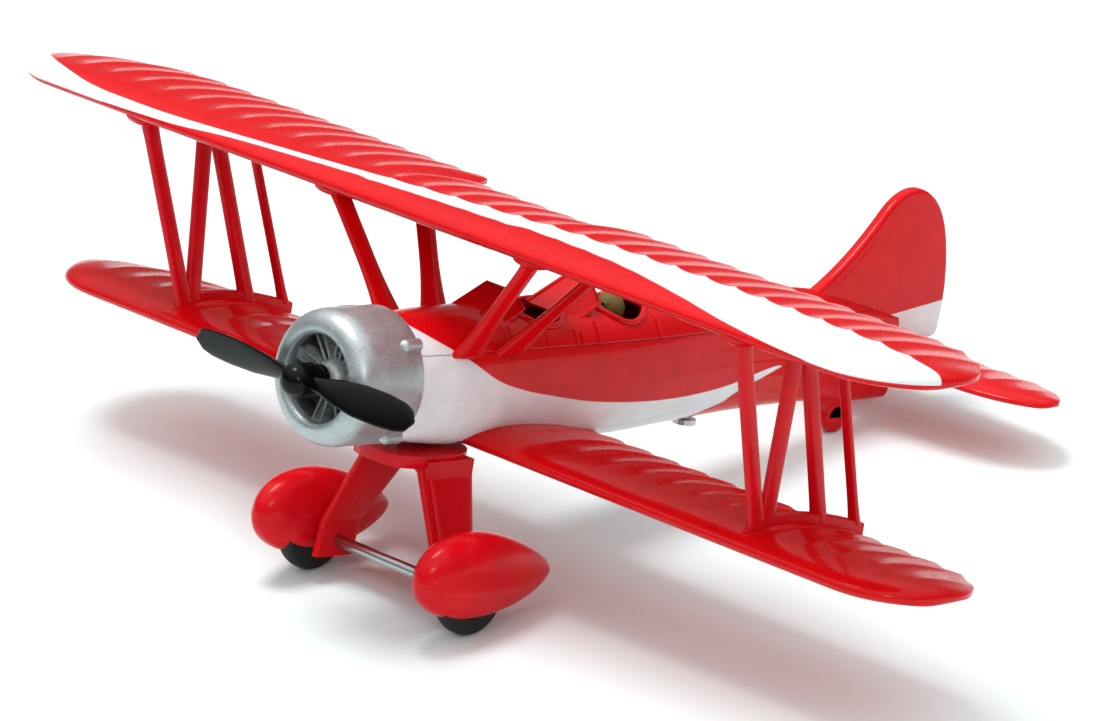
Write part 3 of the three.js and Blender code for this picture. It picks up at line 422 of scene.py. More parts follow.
def body_shape():
    """The lower skin in rings, cut up over the lower wing, with three low stringers a side."""
    stations = np.arange(HULL_FRONT, HULL_FRONT + HULL_LENGTH + 0.01, 0.4)
    seams = angle_at_height(stations, SEAM - 0.03)
    shares = np.linspace(0, 1, 97)
    stringers = (1.62, 1.95, 2.28)
    rows = []
    for y, seam in zip(stations, seams):
        angle = seam + (2 * np.pi - 2 * seam) * shares
        turn = np.minimum(angle, 2 * np.pi - angle)
        strength = np.interp(y, [26, 40, 80, 88], [0, 0.05, 0.1, 0])
        ridge = sum(np.exp(-((turn - at) / 0.06) ** 2) for at in stringers) * strength
        ring = hull_point(y, angle, ridge)
        if LOWER["front"] - 0.3 < y < LOWER["front"] + LOWER["chord"] + 0.3:
            ring[:, 2] = np.maximum(ring[:, 2], wing_top(LOWER, 0, y) - 0.3)
        rows.append(ring)
    count = len(shares)
    faces = grid_faces(len(rows), count)
    faces += [tuple(range(count)), tuple(range((len(rows) - 1) * count, len(rows) * count))]
    return np.array(rows).reshape(-1, 3), faces


points, faces = body_shape()
add_piece("body_casting_skin", (points, faces), two_tone, replaces=["body_casting"],
          marks={"white": side_white(points)}, sharp=50)

# ---- Cockpit tub and seats ----
# A black moulded tub under the two openings, with a bulkhead between the cockpits and a bench seat in each.
# The mouldings are half matt, with a fine grain that breaks up what little light reaches them.
REAR = COCKPITS["rear"]
TUB_FLOOR = DECK_HEIGHT - 8


def moulded_plastic(name, colour, rough=(0.32, 0.48), grain=0.02, coat=0.0, shine=0.25):
    """Injection-moulded plastic: an even colour with faint flow clouds and a fine spark-eroded grain."""
    material, tree, shader, place = new_material(name, {
        "Specular IOR Level": shine, "Coat Weight": coat, "Coat Roughness": 0.06,
    })
    flow = add(tree, "ShaderNodeTexNoise", {"Scale": 0.25, "Detail": 2}, {"Vector": place})
    shade = add(tree, "ShaderNodeMapRange", {
        "From Min": 0.3, "From Max": 0.7, "To Min": 0.92, "To Max": 1.06,
    }, {"Value": flow})
    tinted = add(tree, "ShaderNodeVectorMath", {0: linear(colour)[:3]}, {1: shade}, operation="MULTIPLY")
    tree.links.new(tinted.outputs[0], shader.inputs["Base Color"])
    grit = add(tree, "ShaderNodeTexNoise", {"Scale": 6, "Detail": 5}, {"Vector": place})
    spread = add(tree, "ShaderNodeMapRange", {"To Min": rough[0], "To Max": rough[1]}, {"Value": grit})
    tree.links.new(spread.outputs[0], shader.inputs["Roughness"])
    bump = add(tree, "ShaderNodeBump", {"Strength": 0.4, "Distance": grain / 1000}, {"Height": grit})
    tree.links.new(bump.outputs[0], shader.inputs["Normal"])
    return material


def block(x0, x1, y0, y1, z0, z1):
    """A box between two places along each axis."""
    return loft([[(x0, y0, z), (x1, y0, z), (x1, y1, z), (x0, y1, z)] for z in (z0, z1)])


dark_plastic = moulded_plastic("tub_plastic", "#1d1c1c")
tub_front, tub_end = COCKPITS["front"] - 1, REAR + COCKPIT_LENGTH + 1
bulkhead = (COCKPITS["front"] + COCKPIT_LENGTH + REAR) / 2
rim = SEAM - 0.3
cross_walls = (tub_front + 0.35, bulkhead, tub_end - 0.35)
add_piece("tub_moulding", join(
    block(-5, 5, tub_front, tub_end, TUB_FLOOR, TUB_FLOOR + 0.8),
    block(-5, -4.4, tub_front, tub_end, TUB_FLOOR + 0.8, rim),
    block(4.4, 5, tub_front, tub_end, TUB_FLOOR + 0.8, rim),
    *[block(-4.4, 4.4, y - 0.35, y + 0.35, TUB_FLOOR + 0.8, rim) for y in cross_walls],
), dark_plastic, replaces=["cockpit_tub"], bevel=0.1)
for name, front in COCKPITS.items():
    back = front + COCKPIT_LENGTH - 1.4
    floor = TUB_FLOOR + 1.1
    stitched = [block(-2.5 + 1.02 * k, -1.58 + 1.02 * k, back - 0.35, back + 0.5, floor + 1.1, SEAM + 0.6)
                for k in range(5)]
    seat_shape = join(block(-2.5, 2.5, front + 2.2, back, floor, floor + 1.2), *stitched)
    add_piece(name + "_seat_moulding", seat_shape, dark_plastic, replaces=[name + "_seat"],
              bevel=0.14)

# ---- Pilot ----
# A small figure in a flying helmet and a khaki jacket, moulded in one and painted by hand.
# The face is calm and plain: a brow, a nose and closed lips, no more than such a small casting holds.
figure_paint = moulded_plastic("khaki_figure_paint", "#6e6030", (0.5, 0.72), 0.03)
seat_middle = REAR + COCKPIT_LENGTH / 2 + 1.2
neck = DECK_HEIGHT - 3
turn = np.linspace(0, 2 * np.pi, 40, endpoint=False)
torso = []
for z, share in ((TUB_FLOOR + 2.6, 0.7), (1.6, 0.86), (neck - 2, 0.98), (neck - 1, 1), (neck - 0.45, 0.86),
                 (neck - 0.1, 0.55), (neck + 0.25, 0.34), (neck + 0.7, 0.3)):
    fold = 1 + 0.03 * np.sin(5 * turn + 3 * z)
    across = 2.8 * share * np.sin(turn) * fold
    along = seat_middle + 1.35 * share * np.cos(turn) * fold
    torso.append(np.stack([across, along, np.full_like(turn, z)], 1))
rings = []
head_middle = np.array([0, seat_middle - 0.2, neck + 1.7])
for lift in np.linspace(-1.5, 1.5, 41):
    row = []
    for side in np.linspace(0, 2 * np.pi, 56, endpoint=False):
        way = np.array([np.sin(side) * np.cos(lift), -np.cos(side) * np.cos(lift), np.sin(lift)])
        ahead = max(0.0, math.cos(side)) * math.cos(lift)
        off = abs(math.remainder(side, 2 * math.pi))
        nose_bump = 0.3 * math.exp(-(off / 0.13) ** 2 - ((lift + 0.12) / 0.2) ** 2)
        brow = 0.1 * math.exp(-(off / 0.5) ** 2 - ((lift - 0.16) / 0.08) ** 2)
        eyes = -0.12 * math.exp(-((off - 0.3) / 0.12) ** 2 - ((lift - 0.02) / 0.09) ** 2)
        lips = -0.06 * math.exp(-(off / 0.28) ** 2 - ((lift + 0.46) / 0.04) ** 2)
        helmet = 0.14 if ahead < 0.72 or lift > 0.42 else 0.0
        features = nose_bump + brow + eyes + lips + helmet
        row.append(head_middle + way * np.array([1.5, 1.62, 1.8]) + way * features)
    rings.append(row)
arms, goggles = [], []
for s in (1, -1):
    shoulder, elbow = (s * 2.5, seat_middle, neck - 1), (s * 2.9, seat_middle - 0.8, 1.6)
    wrist, hand = (s * 2.2, seat_middle - 2.4, 0.9), (s * 1.0, seat_middle - 3.6, 1.5)
    arms.append(tube([shoulder, elbow, wrist, hand], [0.75, 0.7, 0.58, 0.45], 14))
    lens_front = head_middle[1] - 1.62
    lens_rim = [(s * 0.62 + 0.42 * math.sin(a), lens_front, head_middle[2] + 0.62 + 0.3 * math.cos(a))
                for a in np.linspace(0, 2 * np.pi, 20, endpoint=False)]
    goggles.append(tube(lens_rim, 0.11, 8, closed=True))
add_piece("pilot_casting", join(loft(torso), loft(rings), *arms, *goggles), figure_paint,
          replaces=["pilot_figure"], sharp=60)

# ---- Windscreens ----
# One ahead of each cockpit: three flat panes moulded solid and sprayed with the deck, in a thicker frame.
# They lean well back, and the two side panes fall away towards the rear.
SCREEN_DEPTH, SCREEN_LEAN = 3.7, 2
SCREEN_HALF, CENTRE_PANE_HALF = 3.4, 2.04
SIDE_PANE_END = 0.2


def screen_point(foot, level, x, y, height):
    """A point of a leaning pane, at a height over the deck."""
    return (x * (1 - 0.03 * height), foot + y + SCREEN_LEAN * height, level + height)


for name, ahead, screen_height in (("front", 3.6, 1.9), ("rear", 4.6, 2.3)):
    foot = COCKPITS[name] - ahead
    level = float(deck_height(0, foot))
    corners = [(SCREEN_HALF, SCREEN_DEPTH), (CENTRE_PANE_HALF, 0),
               (-CENTRE_PANE_HALF, 0), (-SCREEN_HALF, SCREEN_DEPTH)]
    panes, frames = [], []
    for (x0, y0), (x1, y1) in zip(corners, corners[1:]):
        low0 = float(deck_height(x0, foot + y0)) - level - 0.3
        low1 = float(deck_height(x1, foot + y1)) - level - 0.3
        crest0, crest1 = [screen_height * (SIDE_PANE_END if y else 1) for y in (y0, y1)]
        face = np.array([
            screen_point(foot, level, x0, y0, low0),
            screen_point(foot, level, x1, y1, low1),
            screen_point(foot, level, x1, y1, crest1),
            screen_point(foot, level, x0, y0, crest0),
        ])
        inward = np.cross(face[1] - face[0], face[3] - face[0])
        inward *= 0.34 / np.linalg.norm(inward)
        inward *= -np.sign(inward @ (face.mean(0) - np.array([0, foot + SCREEN_DEPTH, level])))
        panes.append(loft([face, face + inward]))
        frames.append(tube([face[0], face[3], face[2], face[1]], 0.24, 10))
    add_piece(name + "_screen_moulding", join(*panes, *frames), red_gloss, replaces=[name + "_windscreen"],
              sharp=45)

# ---- Wings and tailplane ----
# Castings with the look of fabric over ribs: a ridge every 4.2 mm, a sag between, a scalloped rear edge
# and a plain rounded nose. The upper wing carries a white sweep on top; the rest is red.
RIB_PITCH = 4.2
UPPER = dict(half=68, chord=22.5, front=11, height=17, thick=WING_T, sweep=0, droop=0,
             front_tip=8.5, rear_tip=14, cutout=3.2)
TAIL = dict(half=24.4, chord=13, front=83.4, height=-1.7, thick=1.5, sweep=2.6, droop=0,
            front_tip=9, rear_tip=9, cutout=0)
# The rear and front edge of the white sweep on the upper wing: each row is a place to port and one aft.
REAR_EDGE = np.array([[-68, 19], [-64, 16], [-56, 12.9], [-44.8, 12.1], [-31.4, 12.8], [-18.1, 14.2],
                      [-7.9, 15.6], [3.4, 17.3], [14.8, 19], [25.7, 19.9], [40, 20.3], [54.4, 19.9],
                      [68, 19.5]])
FRONT_EDGE = np.array([[-68, 11], [-50, 11], [-43.2, 11.06], [-37.1, 11.25], [-30.4, 12], [-17, 13.2],
                       [-6.4, 14.2], [5.4, 15.1], [16, 15.5], [25, 15.1], [36.9, 13.1], [44.6, 11.7],
                       [51, 11.15], [57, 11], [68, 11]])


def wing_shape(wing, relief, smooth_nose=0.14, joints=()):
    """Points, faces and the white mark of a ribbed wing."""
    inner = np.arange(0, wing["half"] - 3, 0.4)
    outer = wing["half"] - 3 + 3 * np.sin(np.linspace(0, np.pi / 2, 16))
    half = np.concatenate([inner, outer])
    stations = np.concatenate([-half[:0:-1], half])
    turn = np.linspace(0, 2 * np.pi, 96, endpoint=False)
    share = (1 - np.cos(turn)) / 2
    side = np.sign(np.round(np.sin(turn), 9))
    over_rib = np.clip((share - smooth_nose) / 0.3, 0, 1) * (1 - 0.5 * share ** 6)
    rings, marks = [], []
    for x in stations:
        out = abs(x)
        front, rear, thick = planform(wing, out)
        off = abs((out / RIB_PITCH + 0.5) % 1 - 0.5)
        sag = 0.75 * (1 - math.cos(2 * math.pi * off)) / 2
        ridge = relief * np.clip((wing["half"] - out - 1) / 7, 0, 1) * (math.exp(-(off / 0.11) ** 2) - sag)
        scallop = 2.2 * relief * math.sin(math.pi * off) ** 2 * np.clip((wing["half"] - out) / 6, 0, 1)
        closing = max(0.0, 1 - ((out - wing["half"] + 1) / 1) ** 2) ** 0.5 if out > wing["half"] - 1 else 1
        y = front + share * (rear - front - scallop)
        cut = sum(0.14 * math.exp(-((out - at) / 0.16) ** 2) for at in joints)
        groove = cut * np.clip(1 - share / 0.2, 0, 1)
        bulge = thick * half_thickness(share) + share * EDGE / 2
        curved = (rear - front) / wing["chord"]
        rise = CAMBER * wing["thick"] / WING_T * 4 * share * (1 - share)
        middle = wing["height"] + curved * (rise - wing["droop"] * share)
        skin = over_rib * ridge * np.where(side < 0, 0.5, 1) - groove
        z = middle + side * (bulge * (0.25 + 0.75 * closing) + skin)
        rings.append(np.stack([np.full_like(y, x), y, z], 1))
        begins = np.clip((eased(x, FRONT_EDGE) - wing["front"]) / wing["chord"], 0, 1)
        past_front = (turn - math.acos(1 - 2 * begins)) * wing["thick"]
        top = np.minimum(eased(x, REAR_EDGE) - y, past_front)
        marks.append(np.where(side >= 0, top, -0.05 - (y - front)))
    points, faces = loft(rings)
    return points, faces, np.concatenate(marks)


def blister(wing, x, start, end, width, height, over=True):
    """A streamlined swelling on a wing's skin, with its middle line on the skin."""
    rings = []
    turn = np.linspace(0, 2 * np.pi, 24, endpoint=False)
    for share in (1 - np.cos(np.linspace(0, np.pi, 22))) / 2:
        y = start + (end - start) * share
        fat = max(0.04, math.sin(math.pi * share ** 0.8) ** 0.6)
        crest = wing_top(wing, abs(x), y)
        front, rear, thick = planform(wing, abs(x))
        along = (y - front) / (rear - front)
        if not over:
            crest -= 2 * (thick * half_thickness(along) + along * EDGE / 2)
        rings.append(np.stack([x + width / 2 * fat * np.sin(turn), np.full_like(turn, y),
                               crest + height * fat * np.cos(turn)], 1))
    return loft(rings)


upper = wing_shape(UPPER, 0.17, joints=(9.5,))
add_piece("upper_wing_skin", upper[:2], two_tone, replaces=["upper_wing"],
          marks={"white": upper[2]}, sharp=55)
lower = wing_shape(LOWER, 0.17)
add_piece("lower_wing_skin", lower[:2], red_gloss, replaces=["lower_wing"], sharp=55)
tail = wing_shape(TAIL, 0.1)
add_piece("tailplane_skin", tail[:2], red_gloss, replaces=["tailplane"], sharp=55)
mounts = []
for side in (1, -1):
    mounts.append(blister(UPPER, 45.5 * side, 11.2, 18.5, 3.4, 0.75, over=False))
    mounts.append(blister(UPPER, 45.5 * side, 21.5, 30.5, 2.6, 0.6, over=False))
    mounts.append(blister(UPPER, 15.2 * side, 11.6, 17.5, 4, 0.7, over=False))
    mounts.append(blister(LOWER, 44.1 * side, 20.6, 38.9, 3.6, 0.5))
add_piece("strut_mounts", join(*mounts), red_gloss, sharp=60)

# ---- Fin and rudder ----
# One flat casting 1.6 mm thick with soft edges: red, with the end of the white sweep across its foot.
# A short raised stiffener follows the curve of its front edge on each side.
FIN_FRONT, FIN_TOP, RUDDER_END = 75.3, 17.1, 97.6


def curve(start, control, end, count=12):
    """The points of a curve after its start, drawn towards a control point."""
    t = np.linspace(0, 1, count)[1:, None]
    return (1 - t) ** 2 * np.array(start) + 2 * t * (1 - t) * np.array(control) + t ** 2 * np.array(end)


fin_foot = -0.55
fin_deck = float(hull(FIN_FRONT)[1])
brow_point = (FIN_FRONT + 9.5, FIN_TOP - 3.2)
top_point = (FIN_FRONT + 15, FIN_TOP)
rear_point = (RUDDER_END - 0.9, FIN_TOP - 7.4)
low_point = (RUDDER_END - 0.3, fin_foot + 0.8)
outline = np.concatenate([
    [(FIN_FRONT, fin_foot), (FIN_FRONT, fin_deck - 0.4)],
    curve((FIN_FRONT, fin_deck - 0.4), (FIN_FRONT + 5, fin_deck + 2.5), brow_point),
    curve(brow_point, (FIN_FRONT + 12, FIN_TOP + 0.1), top_point),
    curve(top_point, (RUDDER_END - 2.6, FIN_TOP - 0.6), rear_point),
    curve(rear_point, (RUDDER_END + 0.3, FIN_TOP - 12), low_point),
    curve(low_point, (RUDDER_END - 0.5, fin_foot), (RUDDER_END - 1.6, fin_foot), 5),
])
edge = np.roll(outline, -1, 0) - np.roll(outline, 1, 0)
outwards = np.stack([-edge[:, 1], edge[:, 0]], 1) / np.linalg.norm(edge, axis=1)[:, None]
fin_rings = []
soft_edge = ((-0.8, 0.62), (-0.76, 0.3), (-0.6, 0.1), (-0.3, 0),
             (0.3, 0), (0.6, 0.1), (0.76, 0.3), (0.8, 0.62))
for x, inset in soft_edge:
    ring = outline - inset * outwards
    fin_rings.append(np.stack([np.full(len(ring), x), ring[:, 0], ring[:, 1]], 1))
points, faces = loft(fin_rings)
ridges = [tube([(s * 0.74, 77.6, 5.9), (s * 0.78, 80.4, 7.6), (s * 0.78, 82.6, 9.7), (s * 0.74, 84.8, 12.6)],
               [0.05, 0.2, 0.2, 0.05], 10) for s in (1, -1)]
foot_line = np.array([[84, 0.6], [87.4, 2.4], [96.6, 3.8], [99, 4.1]])
points, faces = join((points, faces), *ridges)
add_piece("fin_casting", (points, faces), two_tone, replaces=["fin_and_rudder"],
          marks={"white": np.interp(points[:, 1], *foot_line.T) - points[:, 2]}, sharp=40)

# ---- Interplane strut frames ----
# Moulded in red plastic, one frame a side: a front and a rear strut, a diagonal and a thin rod, all on
# one strip along the lower wing. The ends are pegged into the wings.
red_plastic = moulded_plastic("red_plastic", "#cc0a18", (0.22, 0.34), 0.012, coat=0.12, shine=0.1)


def strut(foot, top, chord, thickness, flare=0.25):
    """A strut of lens-like section, level at both ends and a little stouter there."""
    turn = np.linspace(0, 2 * np.pi, 28, endpoint=False)
    rings = []
    for share in np.linspace(0, 1, 26):
        middle = np.array(foot) + share * (np.array(top) - np.array(foot))
        wide = 1 + flare * (math.exp(-share / 0.05) + math.exp(-(1 - share) / 0.05))
        across = thickness / 2 * wide * np.sign(np.sin(turn)) * np.abs(np.sin(turn)) ** 0.8
        along = chord / 2 * wide * np.sign(np.cos(turn)) * np.abs(np.cos(turn)) ** 0.8
        rings.append(middle + np.stack([across, along, np.zeros_like(turn)], 1))
    return loft(rings)


STRUT_OUT, STRUT_SPREAD = 44.1, 1.4
WING_GAP = UPPER["height"] - LOWER["height"]


def strut_out(side, z):
    """Where a strut frame stands along the span at a height; it leans out a little."""
    return side * (STRUT_OUT + STRUT_SPREAD * (z - LOWER["height"]) / WING_GAP)


for word, side in (("left", 1), ("right", -1)):
    low, high = -5.6, 16.2
    bars = []
    for foot, top, chord in ((23.1, 13.9, 2.1), (23.7, 22.8, 2.1), (32.6, 23.6, 2.1), (38.1, 28.6, 1.1)):
        slope = (top - foot) / WING_GAP
        lower_end = (strut_out(side, low), foot + slope * 1.1, low)
        upper_end = (strut_out(side, high), foot + slope * 22.9, high)
        bars.append(strut(lower_end, upper_end, chord, 1.1))
    strip = []
    for y in np.linspace(22.05, 38.65, 18):
        crest = wing_top(LOWER, STRUT_OUT, y) + 1.3
        section = ((-1, -2), (-1, -0.15), (-0.7, 0), (0.7, 0), (1, -0.15), (1, -2))
        strip.append([(strut_out(side, crest) + s * 0.55, y, crest + drop) for s, drop in section])
    add_piece("strut_frame_moulding_" + word, join(*bars, loft(strip)), red_plastic,
              replaces=["strut_frame_" + word], sharp=45)

# ---- Cabane struts ----
# Four short streamlined struts, cast and painted like the deck, that carry the middle of the upper wing.
# They are flared where they stand on the fuselage, and lean out to pads under the wing.
for place_name, foot_y, top_x, top_y in (("front", 16.3, 15.2, 14.3), ("rear", 22.5, 15.4, 27.1)):
    for word, side in (("left", 1), ("right", -1)):
        half, top, bottom, square = hull(foot_y)
        foot = np.array([side * (half - 1), foot_y, top * 0.45])
        head = np.array([side * top_x, top_y, 16.3])
        turn = np.linspace(0, 2 * np.pi, 32, endpoint=False)
        rings = []
        for share in np.linspace(0, 1, 30):
            flare = 1 + 0.7 * max(0, 1 - share / 0.5) ** 2 + 0.35 * math.exp(-(1 - share) / 0.04)
            ridge = 0.1 * np.exp(-(np.cos(turn) / 0.16) ** 2)
            across = np.sign(np.sin(turn)) * (0.65 * np.abs(np.sin(turn)) ** 0.9 + ridge) * flare
            along = 1.3 * np.cos(turn) * flare
            rings.append(foot + share * (head - foot) + np.stack([across, along, np.zeros_like(turn)], 1))
        add_piece(f"cabane_{place_name}_{word}_casting", loft(rings), red_gloss,
                  replaces=[f"cabane_{place_name}_{word}"], sharp=60)

# ---- Cowl ----
# A turned ring over the engine, sprayed in silver paint full of fine aluminium flake, so that it
# glitters a little and never mirrors. Four rocker-box bumps stand on it near its rear edge.
COWL_RADIUS, COWL_LENGTH = 7.35, 9


def flake_paint(name, colour, metallic=0.75, rough=0.42):
    """Silver paint: flake tilts each point's reflection a little and changes its brightness."""
    material, tree, shader, place = new_material(name, {"Metallic": metallic, "Coat Weight": 0.15,
                                                        "Coat Roughness": 0.15})
    flake = add(tree, "ShaderNodeTexVoronoi", {"Scale": 4}, {"Vector": place})
    cloud = add(tree, "ShaderNodeTexNoise", {"Scale": 0.5, "Detail": 3}, {"Vector": place})
    mixed = add(tree, "ShaderNodeMath", {1: 0.55}, {0: flake.outputs["Color"]}, operation="MULTIPLY")
    total = add(tree, "ShaderNodeMath", None, {0: mixed, 1: cloud}, operation="ADD")
    shade = add(tree, "ShaderNodeMapRange", {
        "From Min": 0.3, "From Max": 1.1, "To Min": 0.82, "To Max": 1.16,
    }, {"Value": total})
    tinted = add(tree, "ShaderNodeVectorMath", {0: linear(colour)[:3]}, {1: shade}, operation="MULTIPLY")
    tree.links.new(tinted.outputs[0], shader.inputs["Base Color"])
    spread = add(tree, "ShaderNodeMapRange", {
        "To Min": rough - 0.08, "To Max": rough + 0.1,
    }, {"Value": cloud})
    tree.links.new(spread.outputs[0], shader.inputs["Roughness"])
    bump = add(tree, "ShaderNodeBump", {
        "Strength": 0.35, "Distance": 0.02 / 1000,
    }, {"Height": flake.outputs["Color"]})
    tree.links.new(bump.outputs[0], shader.inputs["Normal"])
    return material


def lathe(profile, axis="y", centre=(0, 0, 0), sides=96, ends_joined=False):
    """A turned shape: the profile's pairs are radius and place along the axis."""
    turn = np.linspace(0, 2 * np.pi, sides, endpoint=False)
    rings = []
    for radius, along in profile:
        flat = np.full_like(turn, along)
        across, over = radius * np.sin(turn), radius * np.cos(turn)
        rings.append(np.stack([across, flat, over] if axis == "y" else [flat, across, over], 1) + centre)
    return loft(rings, caps=not ends_joined, ends_joined=ends_joined)


silver_paint = flake_paint("silver_flake_paint", "#a9b0b2")
lip = [(5.35 + 2.0 * math.sin(a), 2.6 - 2.6 * math.cos(a) ** 0.9) for a in np.linspace(0, np.pi / 2, 16)]
inner_lip = [(5.35 - 0.65 * math.sin(a), 0.65 - 0.65 * math.cos(a)) for a in np.linspace(0.2, np.pi / 2, 8)]
outer = [(COWL_RADIUS, y) for y in (3.4, 5, 7, 8.7)] + [(COWL_RADIUS - 0.12, COWL_LENGTH)]
inner = [(6.5, COWL_LENGTH), (6.55, 5), (6.4, 3.6), (5.4, 1.9), (4.75, 1.4)]
cowl_shape = lathe(lip + outer + inner + inner_lip[::-1], sides=144, ends_joined=True)
bumps = []
for k in range(4):
    angle = math.radians(50 + 90 * k)
    radial = np.array([math.sin(angle), 0, math.cos(angle)])
    tangent = np.array([math.cos(angle), 0, -math.sin(angle)])
    turn = np.linspace(0, 2 * np.pi, 28, endpoint=False)
    rings = []
    for share in np.linspace(0, 1, 12):
        y = 6.2 + 2.7 * share
        size = min(1, max(0.05, share / 0.22)) ** 0.5
        across, over = 0.72 * size * np.sin(turn)[:, None], 0.78 * size * np.cos(turn)[:, None]
        rings.append(radial * (COWL_RADIUS - 0.15) + np.array([0, y, 0]) + across * tangent + over * radial)
    bumps.append(loft(rings))
add_piece("cowl_ring", join(cowl_shape, *bumps), silver_paint, replaces=["cowl"],
          sharp=50)

# ---- Engine ----
# A dark grey casting behind the cowl's mouth: nine finned cylinders round a domed crankcase, each with
# its two pushrods. The cylinders and crankcase get a lighter grey, which is painted light that lifts them
# out of the cowl's shade. The plate behind them gets a darker grey, which is painted shade.
# Painted light: a lighter grey on the cylinders and crankcase, as if they were lit inside the cowl's shade.
engine_grey_painted_light = flake_paint("engine_grey_with_painted_light", "#b3b7b9", 0.35, 0.5)
# Painted shade: a darker grey on the back plate, for the shade deep inside the cowl.
engine_grey_painted_shade = flake_paint("engine_grey_with_painted_shade", "#6f7476", 0.3, 0.6)
CYLINDERS = 9


def spoke(k, shape):
    """A shape built upright above the thrust line, turned to the place of cylinder k."""
    angle = 2 * math.pi * k / CYLINDERS
    points, faces = shape
    x = points[:, 0] * math.cos(angle) + points[:, 2] * math.sin(angle)
    z = -points[:, 0] * math.sin(angle) + points[:, 2] * math.cos(angle)
    return np.stack([x, points[:, 1], z], 1), faces


def upright(profile, centre, sides=24):
    """A turned shape standing on end: the profile's pairs are radius and height."""
    turn = np.linspace(0, 2 * np.pi, sides, endpoint=False)
    rings = []
    for radius, z in profile:
        x, y = centre[0] + radius * np.sin(turn), centre[1] + radius * np.cos(turn)
        rings.append(np.stack([x, y, np.full_like(turn, z)], 1))
    return loft(rings)


fins = []
for z in np.arange(2.7, 5.7, 0.34):
    fins += [(0.68, z), (0.95, z + 0.06), (0.95, z + 0.14), (0.68, z + 0.2)]
barrel = upright([(0.7, 2.2)] + fins + [(0.8, 5.8), (0.8, 6.15), (0.5, 6.3)], (0, 4.4, 0))
rods = [tube([(s * 0.35, 2.9, 2.0), (s * 0.62, 3.25, 6.0)], 0.15, 8) for s in (1, -1)]
boxes = block(-0.62, 0.62, 2.95, 3.9, 5.6, 6.2)
cylinder_rows = join(*[spoke(k, shape) for k in range(CYLINDERS) for shape in (barrel, *rods, boxes)])
add_piece("engine_cylinder_row", cylinder_rows, engine_grey_painted_light, replaces=["engine_cylinders"],
          sharp=40)
back_plate = lathe([(2.3, 5.2), (6.3, 5.2), (6.3, 6.4), (2.3, 6.4)], ends_joined=True)
add_piece("engine_back_plate", back_plate, engine_grey_painted_shade)
case_profile = [(0.75, 1.5), (1.3, 1.55), (1.6, 1.75), (1.85, 2.2), (2.05, 2.9), (2.1, 4),
                (2.1, 8.6), (0.75, 8.6)]
stud = [(0.03, 1.98), (0.2, 2.0), (0.2, 2.6)]
studs = [lathe(stud, centre=(1.72 * math.sin(a), 0, 1.72 * math.cos(a)), sides=6)
         for a in np.linspace(0, 2 * np.pi, 9, endpoint=False)]
add_piece("crankcase_casting", join(lathe(case_profile, ends_joined=True, sides=64), *studs), engine_grey_painted_light,
          replaces=["crankcase"], sharp=40)

# ---- Propeller ----
# One moulding in glossy black plastic, pressed on a steel shaft: two twisted blades and a domed hub
# with a stepped collar behind. It turns as one with the shaft.
black_plastic = moulded_plastic("black_gloss_plastic", "#070606", (0.16, 0.26), 0.006, coat=0.06, shine=0.12)
BLADE_RADIUS = 16.6


def blade_shape(side):
    """A twisted blade, coarse in pitch by the hub and fine at the rounded tip."""
    turn = np.linspace(0, 2 * np.pi, 36, endpoint=False)
    rounded_end = 0.92 + 0.08 * np.sin(np.linspace(0, np.pi / 2, 12)[1:])
    shares = np.concatenate([np.linspace(0.03, 0.92, 34), rounded_end])
    rows = [0.04, 0.14, 0.3, 0.5, 0.72, 0.88, 0.96, 1]
    widths = [0.42, 0.46, 0.78, 1, 1, 0.88, 0.66, 0.16]
    rings = []
    for share in shares:
        pitch = math.radians(24 * (1.5 - 0.7 * share))
        width = float(np.interp(share, rows, widths))
        along = 1.85 * width * np.cos(turn)
        across = 0.375 * (1.5 - 0.9 * share) * np.sin(turn) * (1 + 0.12 * np.cos(turn))
        x = np.full_like(turn, share * BLADE_RADIUS)
        y = BLADE_PLANE + along * math.sin(pitch) + across * math.cos(pitch)
        z = along * math.cos(pitch) - across * math.sin(pitch)
        rings.append(np.stack([side * x, y, side * z], 1))
    return loft(rings)


dome = [(max(0.02, 1.75 * math.sin(a)), -4.3 + 1.5 * (1 - math.cos(a)))
        for a in np.linspace(0, np.pi / 2, 14)]
collar = [(1.75, -0.6), (1.66, -0.45), (1.34, -0.3), (1.34, 0.2), (1.5, 0.3), (1.5, 0.9), (1.2, 1.2)]
hub = lathe(dome + collar, sides=64)
add_piece("propeller_moulding", join(hub, blade_shape(1), blade_shape(-1)), black_plastic, body="propeller",
          replaces=["propeller"], sharp=50)


def bright_steel(name, rough=0.22):
    """Drawn steel wire: fine lines run along it, and handling has dulled it a little."""
    material, tree, shader, place = new_material(name, {"Metallic": 1.0})
    stretched = add(tree, "ShaderNodeMapping", {"Scale": (0.2, 9, 9)}, {"Vector": place})
    lines = add(tree, "ShaderNodeTexNoise", {"Scale": 1.4, "Detail": 4}, {"Vector": stretched})
    shade = add(tree, "ShaderNodeMapRange", {"To Min": 0.75, "To Max": 1.1}, {"Value": lines})
    tinted = add(tree, "ShaderNodeVectorMath", {0: linear("#b9bbbd")[:3]}, {1: shade}, operation="MULTIPLY")
    tree.links.new(tinted.outputs[0], shader.inputs["Base Color"])
    spread = add(tree, "ShaderNodeMapRange", {
        "To Min": rough - 0.06, "To Max": rough + 0.14,
    }, {"Value": lines})
    tree.links.new(spread.outputs[0], shader.inputs["Roughness"])
    return material


steel = bright_steel("drawn_steel")
add_piece("propeller_shaft_rod", lathe([(0.3, -2.3), (0.6, -2.2), (0.6, 7.4), (0.5, 7.5)], sides=40), steel,
          body="propeller", replaces=["propeller_shaft"])

